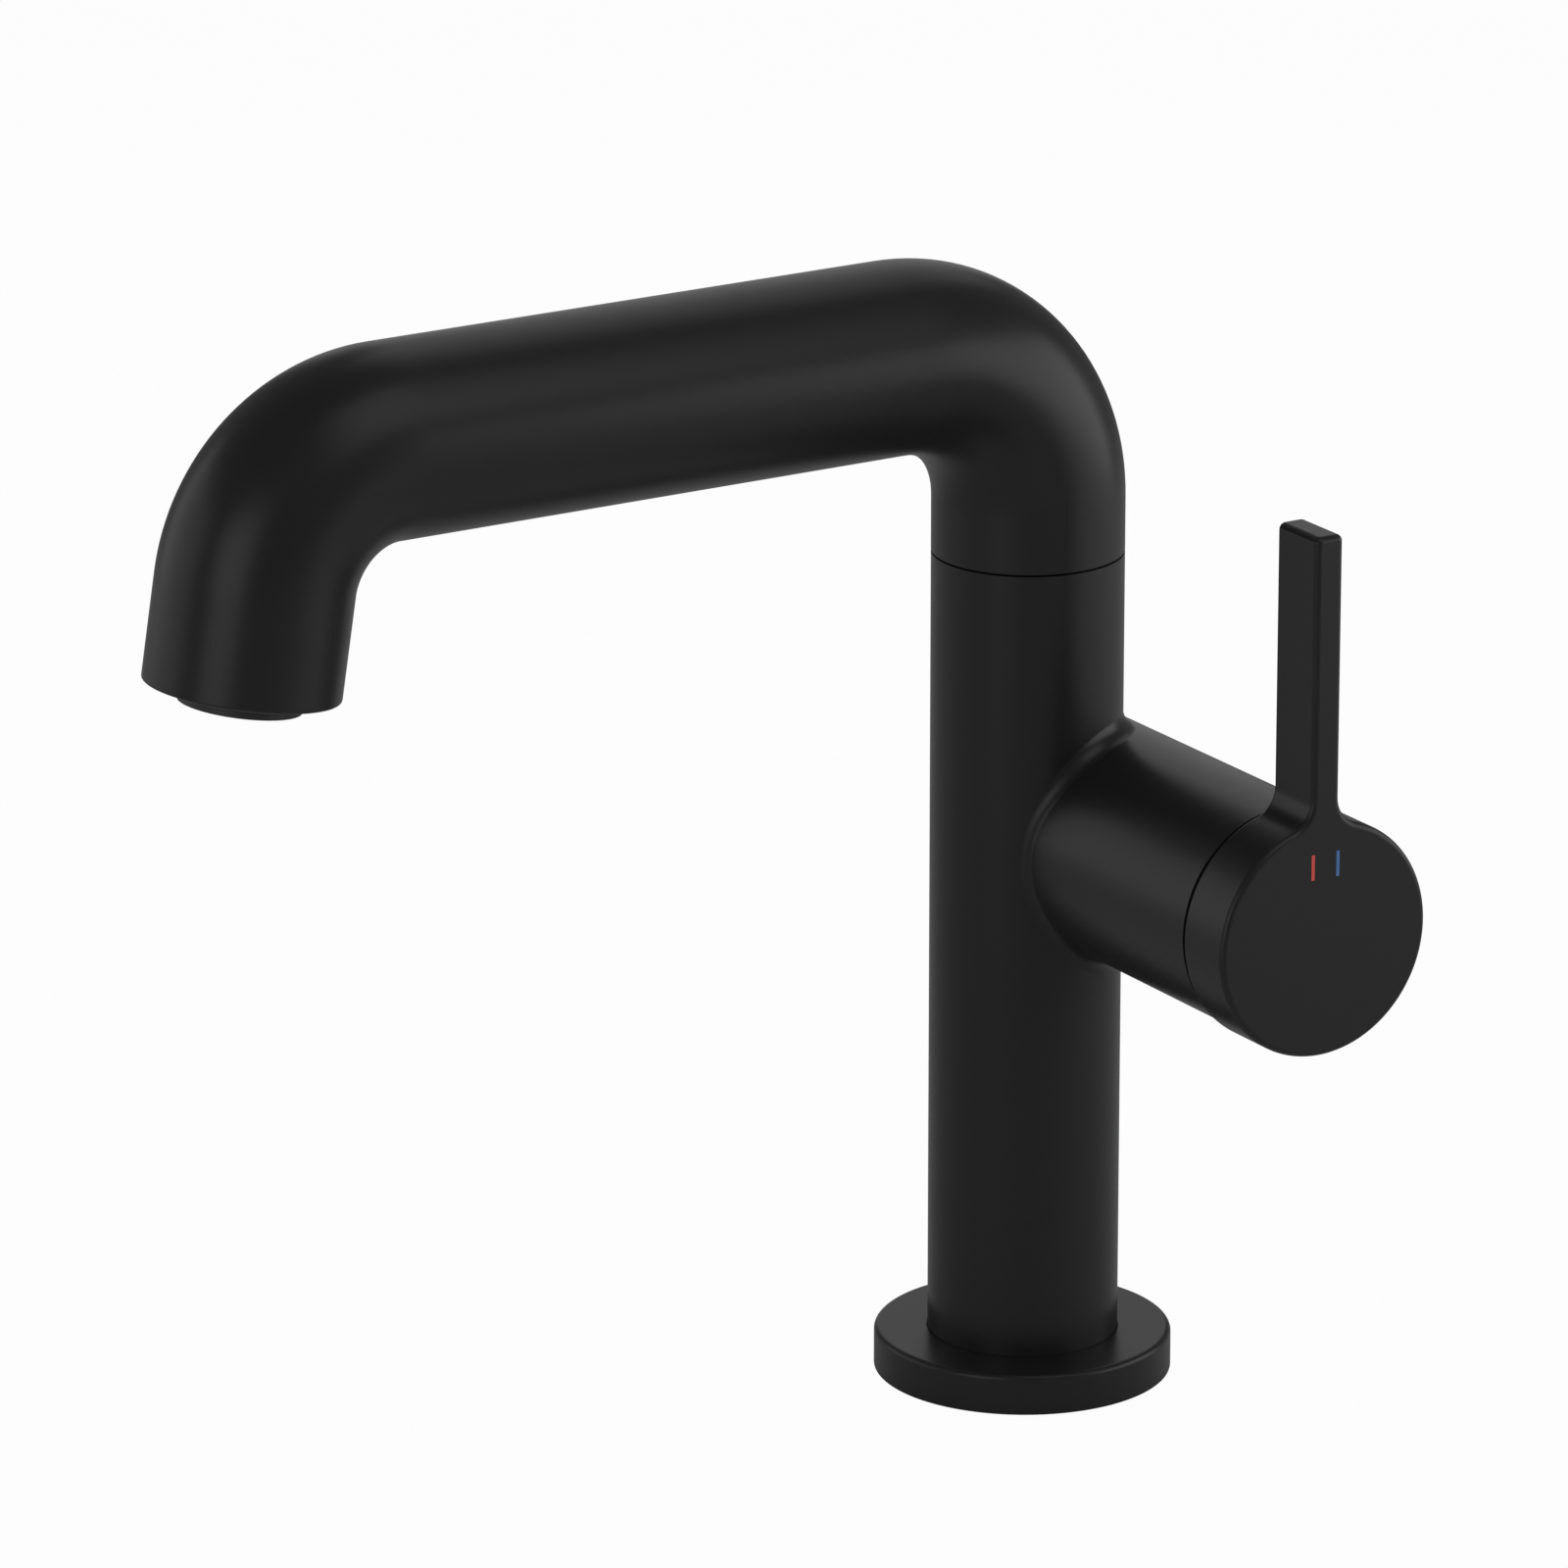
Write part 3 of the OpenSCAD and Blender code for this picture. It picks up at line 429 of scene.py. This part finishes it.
spoutSize = {
    "radius": 16.0,
    "bore": 13.5,
    "seam": 143.15,
    "foot": 9.25,
    "firstBend": 27.0,
    "level": 94.4,
    "secondBend": 23.6,
    "outletTilt": 9.1,
    "outlet": 17.1,
    "seamRound": 0.12,
    "outletRound": 0.5,
    "seatRadius": 10.05,
    "seatDepth": 12.6,
    "throat": 7.0,
    "sides": 128,
    "seamSteps": 3,
    "outletSteps": 6,
    "pathSteps": (180, 160),
    "bendSteps": (36, 32),
    "bendLead": 1.5,
    "slack": 0.01,
}


def spoutPath():  # (y, z) in mm, from the seam to the outlet
    s = spoutSize
    topZ = s["seam"] + s["foot"] + s["firstBend"]
    farY = -s["firstBend"] - s["level"]
    tilt = math.radians(s["outletTilt"])
    path = [(0, s["seam"])]
    firstSteps, secondSteps = s["pathSteps"]
    path += roundedCorner(
        (-s["firstBend"], topZ - s["firstBend"]), s["firstBend"], 0, 90, firstSteps)
    path += roundedCorner(
        (farY, topZ - s["secondBend"]), s["secondBend"], 90, 180 - s["outletTilt"], secondSteps)
    y, z = path[-1]
    path.append((y - s["outlet"] * math.sin(tilt), z - s["outlet"] * math.cos(tilt)))
    return path


def spoutStations():  # lengths along the centre line, close together in the bends
    s = spoutSize
    firstArc = s["firstBend"] * math.pi / 2
    secondArc = s["secondBend"] * math.radians(90 - s["outletTilt"])
    starts = [s["foot"], s["foot"] + firstArc + s["level"]]
    stations = []
    for start, arc, steps in zip(starts, (firstArc, secondArc), s["bendSteps"]):
        stations.append(start - s["bendLead"])
        stations += [start + arc * k / steps for k in range(steps + 1)]
        stations.append(start + arc + s["bendLead"])
    return stations, starts[1] + secondArc + s["outlet"]


def newBendTree():  # height becomes the way along the centre line, Y the way out of it
    tree, keys, groupIn, groupOut = newTree("bend along centre line", objects=("Centre line",))
    add, link = tree.nodes.new, tree.links.new
    centre = add("GeometryNodeObjectInfo")
    centre.transform_space = "RELATIVE"
    link(groupIn.outputs["Centre line"], centre.inputs["Object"])
    position, split = add("GeometryNodeInputPosition"), add("ShaderNodeSeparateXYZ")
    link(position.outputs[0], split.inputs[0])
    sample = add("GeometryNodeSampleCurve")
    sample.mode = "LENGTH"
    sample.use_all_curves = True
    link(centre.outputs["Geometry"], sample.inputs["Curves"])
    link(split.outputs["Z"], sample.inputs["Length"])
    across = vectorNode(tree, "CROSS_PRODUCT", sample.outputs["Tangent"], (1, 0, 0))
    unit = vectorNode(tree, "NORMALIZE", across.outputs[0])
    outBy = vectorNode(tree, "SCALE", unit.outputs[0])
    link(split.outputs["Y"], outBy.inputs["Scale"])
    sideways = add("ShaderNodeCombineXYZ")
    link(split.outputs["X"], sideways.inputs["X"])
    both = vectorNode(tree, "ADD", outBy.outputs[0], sideways.outputs[0])
    total = vectorNode(tree, "ADD", both.outputs[0], sample.outputs["Position"])
    setPosition = add("GeometryNodeSetPosition")
    link(groupIn.outputs["Geometry"], setPosition.inputs["Geometry"])
    link(total.outputs[0], setPosition.inputs["Position"])
    endTree(tree, groupIn, groupOut, setPosition.outputs[0])
    return tree, keys


def newCentreLine():
    path = spoutPath()
    line = bpy.data.curves.new("spout centre line", "CURVE")
    line.dimensions = "3D"
    spline = line.splines.new("POLY")
    spline.points.add(len(path) - 1)
    for point, (y, z) in zip(spline.points, path):
        point.co = (0, y * mm, z * mm, 1)
    centreLine = bpy.data.objects.new("spout centre line", line)
    scene.collection.objects.link(centreLine)
    return centreLine


def spoutOutline():  # of the straight tube, from the seam to the outlet and back inside
    s = spoutSize
    stations, length = spoutStations()
    edge, rim = s["seamRound"], s["outletRound"]
    seat, throatEnd = length - s["seatDepth"], length - s["outlet"]
    return (
        [(s["bore"], 0)]
        + roundedCorner((s["radius"] - edge, edge), edge, -90, 0, s["seamSteps"])
        + [(s["radius"], station) for station in stations]
        + roundedCorner((s["radius"] - rim, length - rim), rim, 0, 90, s["outletSteps"])
        + [(s["seatRadius"], length), (s["seatRadius"], seat), (s["throat"], seat)]
        + [(s["throat"], throatEnd)]
        + [(s["bore"], station) for station in reversed(stations)
           if station <= throatEnd + s["slack"]])


def newSpout():
    centreLine = newCentreLine()
    spout = lathe("swivel_spout_tube", spoutOutline(), spoutSize["sides"])
    tree, keys = newBendTree()
    runTree(spout, tree, keys, {"Centre line": centreLine}, "black")
    bpy.data.objects.remove(centreLine)
    dress(smoothEdges(spout), "black", "swivel_spout", "spout")


newSpout()
print("spout made")


# Column body: the casting with true normals on its round faces

bodySize = {
    "column": spoutSize["radius"],
    "barrel": 19.2,
    "barrelRear": -12.0,
    "rearRound": 1.0,
    "junctionRound": 3.0,
    "junctionTurn": (180, 60),
    "junctionSteps": 3000,
    "slack": 0.012,
    "junctionSlack": 0.12,
    "facing": 0.85,
}


def rollingCentres():  # centres of a ball that rolls between column and barrel
    s = bodySize
    start, stop = s["junctionTurn"]
    steps = s["junctionSteps"]
    axisY, axisZ = handleSize["axisY"], handleSize["axisZ"]
    ballColumn = s["column"] + s["junctionRound"]
    ballBarrel = s["barrel"] + s["junctionRound"]
    centres = []
    for k in range(steps + 1):
        turn = math.radians(start - (start - stop) * k / steps)
        for half in (-1, 1):
            y = axisY + ballBarrel * math.cos(turn)
            if abs(y) > ballColumn:
                continue
            x = math.sqrt(ballColumn ** 2 - y * y)
            z = axisZ + half * ballBarrel * math.sin(turn)
            centres += [Vector((x, y, z)), Vector((-x, y, z))]
    return centres


def newBody():
    s = bodySize
    axisY, axisZ = handleSize["axisY"], handleSize["axisZ"]
    mesh = nodes["body_casting"].data.copy()
    body = bpy.data.objects.new("column_body", mesh)
    scene.collection.objects.link(body)
    mergePoints(mesh, "cadCopy")
    if "custom_normal" in mesh.attributes:  # it came with the CAD mesh
        mesh.attributes.remove(mesh.attributes["custom_normal"])
    mesh.shade_smooth()
    mesh.set_sharp_from_angle(angle=math.radians(sharpAngle))
    centres = rollingCentres()
    tree = KDTree(len(centres))
    for k, centre in enumerate(centres):
        tree.insert(centre, k)
    tree.balance()

    def fromColumn(p):
        return Vector((p.x, p.y, 0)), s["column"]

    def fromBarrel(p):
        return Vector((0, p.y - axisY, p.z - axisZ)), s["barrel"]

    def fromRearRound(p):
        out = Vector((0, p.y - axisY, p.z - axisZ))
        ring = Vector((s["barrelRear"] + s["rearRound"], axisY, axisZ)) + out.normalized() * (
            s["barrel"] - s["rearRound"])
        return p - ring, s["rearRound"]

    def fromFillet(p):
        return tree.find(p)[0] - p, s["junctionRound"]

    surfaces = (
        (fromColumn, s["slack"]), (fromBarrel, s["slack"]), (fromRearRound, s["slack"]),
        (fromFillet, s["junctionSlack"]))
    places = [vertex.co / mm for vertex in mesh.vertices]
    normals = [Vector(normal.vector) for normal in mesh.corner_normals]
    for polygon in mesh.polygons:
        corners = [places[k] for k in polygon.vertices]
        middle = sum(corners, Vector()) / len(corners)
        for away, slack in surfaces:
            ways = [away(p) for p in corners]
            onIt = all(-s["slack"] < way.length - radius < slack for way, radius in ways)
            if onIt and polygon.normal.dot(away(middle)[0].normalized()) > s["facing"]:
                for loop, (way, _) in zip(polygon.loop_indices, ways):
                    normals[loop] = way.normalized()
                break
    mesh.normals_split_custom_set(normals)
    dress(body, "black", "faucet_body", "body_casting")


newBody()
print("column body made")


# Base flange: a turned ring with a groove for its gasket

flangeSize = {
    "radius": 25.0,
    "height": 7.0,
    "edgeRound": 1.0,
    "footRound": 0.2,
    "bore": 16.05,
    "boreRound": 0.15,
    "groove": (18.1, 23.3),
    "grooveDepth": 2.0,
    "sides": 160,
    "edgeSteps": 8,
    "lipSteps": 3,
}


def newFlange():
    s = flangeSize
    top, edge, foot, lip = s["height"], s["edgeRound"], s["footRound"], s["boreRound"]
    inner, outer = s["groove"]
    outline = (
        [(s["bore"], 0), (inner, 0), (inner, s["grooveDepth"]), (outer, s["grooveDepth"]), (outer, 0)]
        + roundedCorner((s["radius"] - foot, foot), foot, -90, 0, s["lipSteps"])
        + roundedCorner((s["radius"] - edge, top - edge), edge, 0, 90, s["edgeSteps"])
        + roundedCorner((s["bore"] + lip, top - lip), lip, 90, 180, s["lipSteps"]))
    flange = lathe("base_flange_ring", outline, s["sides"])
    dress(smoothEdges(flange), "black", "faucet_body", "base_flange")


newFlange()
print("flange made")


# Aerator: honeycomb grid and crossed wires in the outlet

aeratorSize = {
    "drop": 2.5,
    "lip": 0.6,
    "plateRadius": 8.35,
    "gridThickness": 3.0,
    "cellPitch": 2.3,
    "cellWidth": 2.0,
    "cellReach": 6.4,
    "cellsAcross": 17,
    "plateSides": 96,
    "screenAt": 2.9,
    "wirePitch": 0.62,
    "wireWidth": 0.24,
    "wireSides": 8,
    "crossingRise": 0.8,
    "wireSharpAngle": 60,
}


def outletPlace(height):  # puts +Z up the outlet, height above its mouth
    s = spoutSize
    tilt = math.radians(s["outletTilt"])
    y, z = spoutPath()[-1]
    return (
        Matrix.Translation((0, y * mm, z * mm))
        @ Matrix.Rotation(-tilt, 4, "X")
        @ Matrix.Translation((0, 0, height * mm)))


def newHoneycombTree():  # six-sided cells cut from a round plate
    tree, keys, groupIn, groupOut = newTree(
        "honeycomb plate", ("Plate radius", "Thickness", "Pitch", "Cell width", "Reach"))
    add, link, given = tree.nodes.new, tree.links.new, groupIn.outputs
    cellsAcross = aeratorSize["cellsAcross"]
    grid = add("GeometryNodeMeshGrid")
    grid.inputs["Vertices X"].default_value = cellsAcross
    grid.inputs["Vertices Y"].default_value = cellsAcross
    side = mathNode(tree, "MULTIPLY", given["Pitch"], cellsAcross - 1)
    link(side, grid.inputs["Size X"])
    link(side, grid.inputs["Size Y"])
    position, split = add("GeometryNodeInputPosition"), add("ShaderNodeSeparateXYZ")
    link(position.outputs[0], split.inputs[0])
    moved, place = add("GeometryNodeSetPosition"), add("ShaderNodeCombineXYZ")
    halfRow = mathNode(tree, "MULTIPLY", split.outputs["Y"], 0.5)
    link(mathNode(tree, "ADD", split.outputs["X"], halfRow), place.inputs["X"])
    link(mathNode(tree, "MULTIPLY", split.outputs["Y"], math.sqrt(3) / 2), place.inputs["Y"])
    link(grid.outputs["Mesh"], moved.inputs["Geometry"])
    link(place.outputs[0], moved.inputs["Position"])
    movedPosition = add("GeometryNodeInputPosition")
    away = vectorNode(tree, "LENGTH", movedPosition.outputs[0])
    outside = mathNode(tree, "GREATER_THAN", away.outputs["Value"], given["Reach"])
    drop = add("GeometryNodeDeleteGeometry")
    drop.domain = "POINT"
    link(moved.outputs[0], drop.inputs["Geometry"])
    link(outside, drop.inputs["Selection"])
    cell = add("GeometryNodeMeshCylinder")
    cell.inputs["Vertices"].default_value = 6
    link(mathNode(tree, "MULTIPLY", given["Cell width"], 0.5), cell.inputs["Radius"])
    link(mathNode(tree, "MULTIPLY", given["Thickness"], 2), cell.inputs["Depth"])
    cells = add("GeometryNodeInstanceOnPoints")
    cells.inputs["Rotation"].default_value = (0, 0, math.pi / 6)
    link(drop.outputs[0], cells.inputs["Points"])
    link(cell.outputs["Mesh"], cells.inputs["Instance"])
    plate = add("GeometryNodeMeshCylinder")
    plate.inputs["Vertices"].default_value = aeratorSize["plateSides"]
    link(given["Plate radius"], plate.inputs["Radius"])
    link(given["Thickness"], plate.inputs["Depth"])
    carve = add("GeometryNodeMeshBoolean")
    carve.operation = "DIFFERENCE"
    link(plate.outputs["Mesh"], carve.inputs["Mesh 1"])
    link(cells.outputs[0], carve.inputs["Mesh 2"])
    endTree(tree, groupIn, groupOut, carve.outputs["Mesh"])
    return tree, keys


def newScreenTree():  # straight wires side by side, and the same ones across them
    tree, keys, groupIn, groupOut = newTree("wire screen", ("Radius", "Wire pitch", "Wire width"))
    add, link, given = tree.nodes.new, tree.links.new, groupIn.outputs
    count = mathNode(tree, "FLOOR", mathNode(tree, "DIVIDE", given["Radius"], given["Wire pitch"]))
    reach = mathNode(tree, "MULTIPLY", count, given["Wire pitch"])
    start, step = add("ShaderNodeCombineXYZ"), add("ShaderNodeCombineXYZ")
    link(mathNode(tree, "MULTIPLY", reach, -1), start.inputs["X"])
    link(given["Wire pitch"], step.inputs["X"])
    row = add("GeometryNodeMeshLine")
    row.mode = "OFFSET"
    link(mathNode(tree, "ADD", mathNode(tree, "MULTIPLY", count, 2), 1), row.inputs["Count"])
    link(start.outputs[0], row.inputs["Start Location"])
    link(step.outputs[0], row.inputs["Offset"])
    position, split = add("GeometryNodeInputPosition"), add("ShaderNodeSeparateXYZ")
    link(position.outputs[0], split.inputs[0])
    radiusSquared = mathNode(tree, "POWER", given["Radius"], 2)
    awaySquared = mathNode(tree, "POWER", mathNode(tree, "ABSOLUTE", split.outputs["X"]), 2)
    halfWire = mathNode(tree, "SQRT", mathNode(tree, "SUBTRACT", radiusSquared, awaySquared))
    size = add("ShaderNodeCombineXYZ")
    size.inputs["X"].default_value = 1
    size.inputs["Y"].default_value = 1
    link(mathNode(tree, "MULTIPLY", halfWire, 2), size.inputs["Z"])
    wire = add("GeometryNodeMeshCylinder")
    wire.inputs["Vertices"].default_value = aeratorSize["wireSides"]
    wire.inputs["Depth"].default_value = 1
    link(mathNode(tree, "MULTIPLY", given["Wire width"], 0.5), wire.inputs["Radius"])
    wires = add("GeometryNodeInstanceOnPoints")
    wires.inputs["Rotation"].default_value = (math.pi / 2, 0, 0)
    link(row.outputs["Mesh"], wires.inputs["Points"])
    link(wire.outputs["Mesh"], wires.inputs["Instance"])
    link(size.outputs[0], wires.inputs["Scale"])
    crossing, rise = add("GeometryNodeTransform"), add("ShaderNodeCombineXYZ")
    crossing.inputs["Rotation"].default_value = (0, 0, math.pi / 2)
    link(
        mathNode(tree, "MULTIPLY", given["Wire width"], aeratorSize["crossingRise"]),
        rise.inputs["Z"])
    link(rise.outputs[0], crossing.inputs["Translation"])
    link(wires.outputs[0], crossing.inputs["Geometry"])
    join = add("GeometryNodeJoinGeometry")
    link(wires.outputs[0], join.inputs[0])
    link(crossing.outputs[0], join.inputs[0])
    endTree(tree, groupIn, groupOut, join.outputs[0])
    return tree, keys


def newHoneycomb():
    s = aeratorSize
    values = {
        "Plate radius": s["plateRadius"] * mm,
        "Thickness": s["gridThickness"] * mm,
        "Pitch": s["cellPitch"] * mm,
        "Cell width": s["cellWidth"] * mm,
        "Reach": s["cellReach"] * mm,
    }
    grid = runTree(newThing("aerator_honeycomb", [], []), *newHoneycombTree(), values, "aerator_grey")
    grid.data.transform(outletPlace(s["lip"] - s["drop"] + s["gridThickness"] / 2))
    dress(smoothEdges(grid), "aerator_grey", "swivel_spout", "aerator_grid")


def newWireScreen():
    s = aeratorSize
    values = {
        "Radius": s["plateRadius"] * mm,
        "Wire pitch": s["wirePitch"] * mm,
        "Wire width": s["wireWidth"] * mm,
    }
    screen = runTree(newThing("aerator_wire_screen", [], []), *newScreenTree(), values, "steel")
    screen.data.transform(outletPlace(s["screenAt"] + s["wireWidth"] / 2))
    dress(smoothEdges(screen, s["wireSharpAngle"]), "steel", "swivel_spout", "aerator_screen")


newHoneycomb()
newWireScreen()
print("aerator made")


# Threads in the three holes of the underside

threadSize = {
    "hot_inlet_thread": {"place": (-7.5, 5.5), "radius": 4.5, "pitch": 1.0, "depth": 10.0},
    "cold_inlet_thread": {"place": (7.5, 5.5), "radius": 4.5, "pitch": 1.0, "depth": 10.0},
    "stud_thread": {"place": (0, -8.5), "radius": 3.4, "pitch": 1.25, "depth": 12.0},
}
threadForm = {  # the first two are shares of the pitch
    "ridge": 0.48,
    "start": 0.6,
    "ridgeSides": 3,
    "stepsPerTurn": 48,
    "sharpAngle": 40,
}


def newThreadTree():
    tree, keys, groupIn, groupOut = newTree("inner thread", ("Radius", "Pitch", "Depth"))
    add, link, given = tree.nodes.new, tree.links.new, groupIn.outputs
    helix = add("GeometryNodeCurveSpiral")
    helix.inputs["Resolution"].default_value = threadForm["stepsPerTurn"]
    ridge = add("GeometryNodeCurvePrimitiveCircle")
    ridge.inputs["Resolution"].default_value = threadForm["ridgeSides"]
    sweep = add("GeometryNodeCurveToMesh")
    sweep.inputs["Fill Caps"].default_value = True
    link(mathNode(tree, "DIVIDE", given["Depth"], given["Pitch"]), helix.inputs["Rotations"])
    link(given["Radius"], helix.inputs["Start Radius"])
    link(given["Radius"], helix.inputs["End Radius"])
    link(given["Depth"], helix.inputs["Height"])
    link(mathNode(tree, "MULTIPLY", given["Pitch"], threadForm["ridge"]), ridge.inputs["Radius"])
    link(helix.outputs[0], sweep.inputs["Curve"])
    link(ridge.outputs[0], sweep.inputs["Profile Curve"])
    endTree(tree, groupIn, groupOut, sweep.outputs[0])
    return tree, keys


def newThreads():
    tree, keys = newThreadTree()
    for name, s in threadSize.items():
        values = {"Radius": s["radius"] * mm, "Pitch": s["pitch"] * mm, "Depth": s["depth"] * mm}
        thread = runTree(newThing(name, [], []), tree, keys, values, "brass")
        x, y = s["place"]
        thread.data.transform(
            Matrix.Translation((x * mm, y * mm, s["pitch"] * threadForm["start"] * mm)))
        dress(smoothEdges(thread, threadForm["sharpAngle"]), "brass", "faucet_body")


newThreads()
print("threads made")


# Stage, light and camera

stageSize = {
    "softLevel": 0.11,
    "whiteLevel": 1.0,
    "mirroredShare": 0.05,
    "floorCover": 0.97,
    "floorReach": 3.0,
    "floorDrop": 0.5,
    "floorColor": (0.8, 0.8, 0.8, 1),
    "floorRoughness": 0.9,
    "lampDistance": 0.8,
    "lampTarget": (0, -0.05, 0.1),
}
softboxes = {
    "right_softbox": {"direction": (148, 10), "size": (0.9, 0.45), "power": 1.95},
    "front_softbox": {"direction": (318, 12), "size": (0.9, 0.5), "power": 0.9},
    "camera_softbox": {"direction": (26, 12), "size": (0.45, 0.5), "power": 0.8},
    "left_softbox": {"direction": (240, 12), "size": (0.45, 0.5), "power": 0.27},
    "back_softbox": {"direction": (225, 45), "size": (0.45, 0.5), "power": 0.33},
    "top_softbox": {"direction": (106, 55), "size": (0.5, 0.6), "power": 0.85},
}
cameraSize = {
    "direction": (58.479, 17.718),
    "aside": 40.15,
    "rise": 97.51,
    "distance": 1775.4,
    "sensor": 36,
    "lens": 241.54,
    "clip": (0.05, 20),
}


def newBackdropShare(tree):  # how much of the white backdrop a ray sees
    lightPath = tree.nodes.new("ShaderNodeLightPath")
    straight = mathNode(
        tree, "MAXIMUM", lightPath.outputs["Is Camera Ray"], lightPath.outputs["Is Transmission Ray"])
    mirrored = mathNode(
        tree, "MULTIPLY", lightPath.outputs["Is Glossy Ray"], stageSize["mirroredShare"])
    return mathNode(tree, "MAXIMUM", straight, mirrored)


def mixSurface(tree, share, plain, white, surface):
    mix = tree.nodes.new("ShaderNodeMixShader")
    tree.links.new(share, mix.inputs["Fac"])
    tree.links.new(plain.outputs[0], mix.inputs[1])
    tree.links.new(white.outputs[0], mix.inputs[2])
    tree.links.new(mix.outputs[0], surface)


def newWorld():
    world = bpy.data.worlds.new("studio")
    scene.world = world
    world.use_nodes = True
    tree = world.node_tree
    tree.nodes.clear()
    out = tree.nodes.new("ShaderNodeOutputWorld")
    soft, white = (tree.nodes.new("ShaderNodeBackground") for _ in range(2))
    for shade, level in ((soft, stageSize["softLevel"]), (white, stageSize["whiteLevel"])):
        shade.inputs["Color"].default_value = (1, 1, 1, 1)
        shade.inputs["Strength"].default_value = level
    mixSurface(tree, newBackdropShare(tree), soft, white, out.inputs["Surface"])


def newFloor():
    reach = stageSize["floorReach"]
    corners = [(-reach, -reach, 0), (reach, -reach, 0), (reach, reach, 0), (-reach, reach, 0)]
    floor = newThing("floor", corners, [(0, 1, 2, 3)])
    floor.location.z = -stageSize["floorDrop"] * mm
    material = bpy.data.materials.new("pale_floor")
    material.use_nodes = True
    tree = material.node_tree
    shader = tree.nodes["Principled BSDF"]
    shader.inputs["Base Color"].default_value = stageSize["floorColor"]
    shader.inputs["Roughness"].default_value = stageSize["floorRoughness"]
    white = tree.nodes.new("ShaderNodeEmission")
    white.inputs["Strength"].default_value = stageSize["whiteLevel"]
    cover = mathNode(  # under 1, so that a faint shadow is left
        tree, "MULTIPLY", newBackdropShare(tree), stageSize["floorCover"])
    mixSurface(tree, cover, shader, white, tree.nodes["Material Output"].inputs["Surface"])
    floor.data.materials.append(material)


def newSoftbox(name, direction, size, power):
    azimuth, elevation = (math.radians(a) for a in direction)
    back = Vector((
        math.sin(azimuth) * math.cos(elevation),
        -math.cos(azimuth) * math.cos(elevation),
        math.sin(elevation)))
    light = bpy.data.lights.new(name, "AREA")
    light.shape = "RECTANGLE"
    light.size, light.size_y = size
    light.energy = power
    lamp = bpy.data.objects.new(name, light)
    scene.collection.objects.link(lamp)
    lamp.rotation_mode = "QUATERNION"
    lamp.location = Vector(stageSize["lampTarget"]) + back * stageSize["lampDistance"]
    lamp.rotation_quaternion = (-back).to_track_quat("-Z", "Y")
    lamp.visible_camera = False


def newCamera():  # looks down at the lever's side from the front
    s = cameraSize
    azimuth, elevation = (math.radians(a) for a in s["direction"])
    right = Vector((math.cos(azimuth), math.sin(azimuth), 0))
    forward = Vector((
        -math.sin(azimuth) * math.cos(elevation),
        math.cos(azimuth) * math.cos(elevation),
        -math.sin(elevation)))
    up = right.cross(forward)
    lens = bpy.data.cameras.new("camera")
    lens.sensor_width = s["sensor"]
    lens.lens = s["lens"]
    lens.clip_start, lens.clip_end = s["clip"]
    camera = bpy.data.objects.new("camera", lens)
    scene.collection.objects.link(camera)
    place = (right * s["aside"] - up * s["rise"] + forward * s["distance"]) * -mm
    turn = Matrix((right, up, -forward)).transposed().to_4x4()
    camera.matrix_world = Matrix.Translation(place) @ turn
    scene.camera = camera


newWorld()
newFloor()
for name, box in softboxes.items():
    newSoftbox(name, **box)
newCamera()

scene.view_settings.view_transform = "Standard"
print("stage, light and camera set")
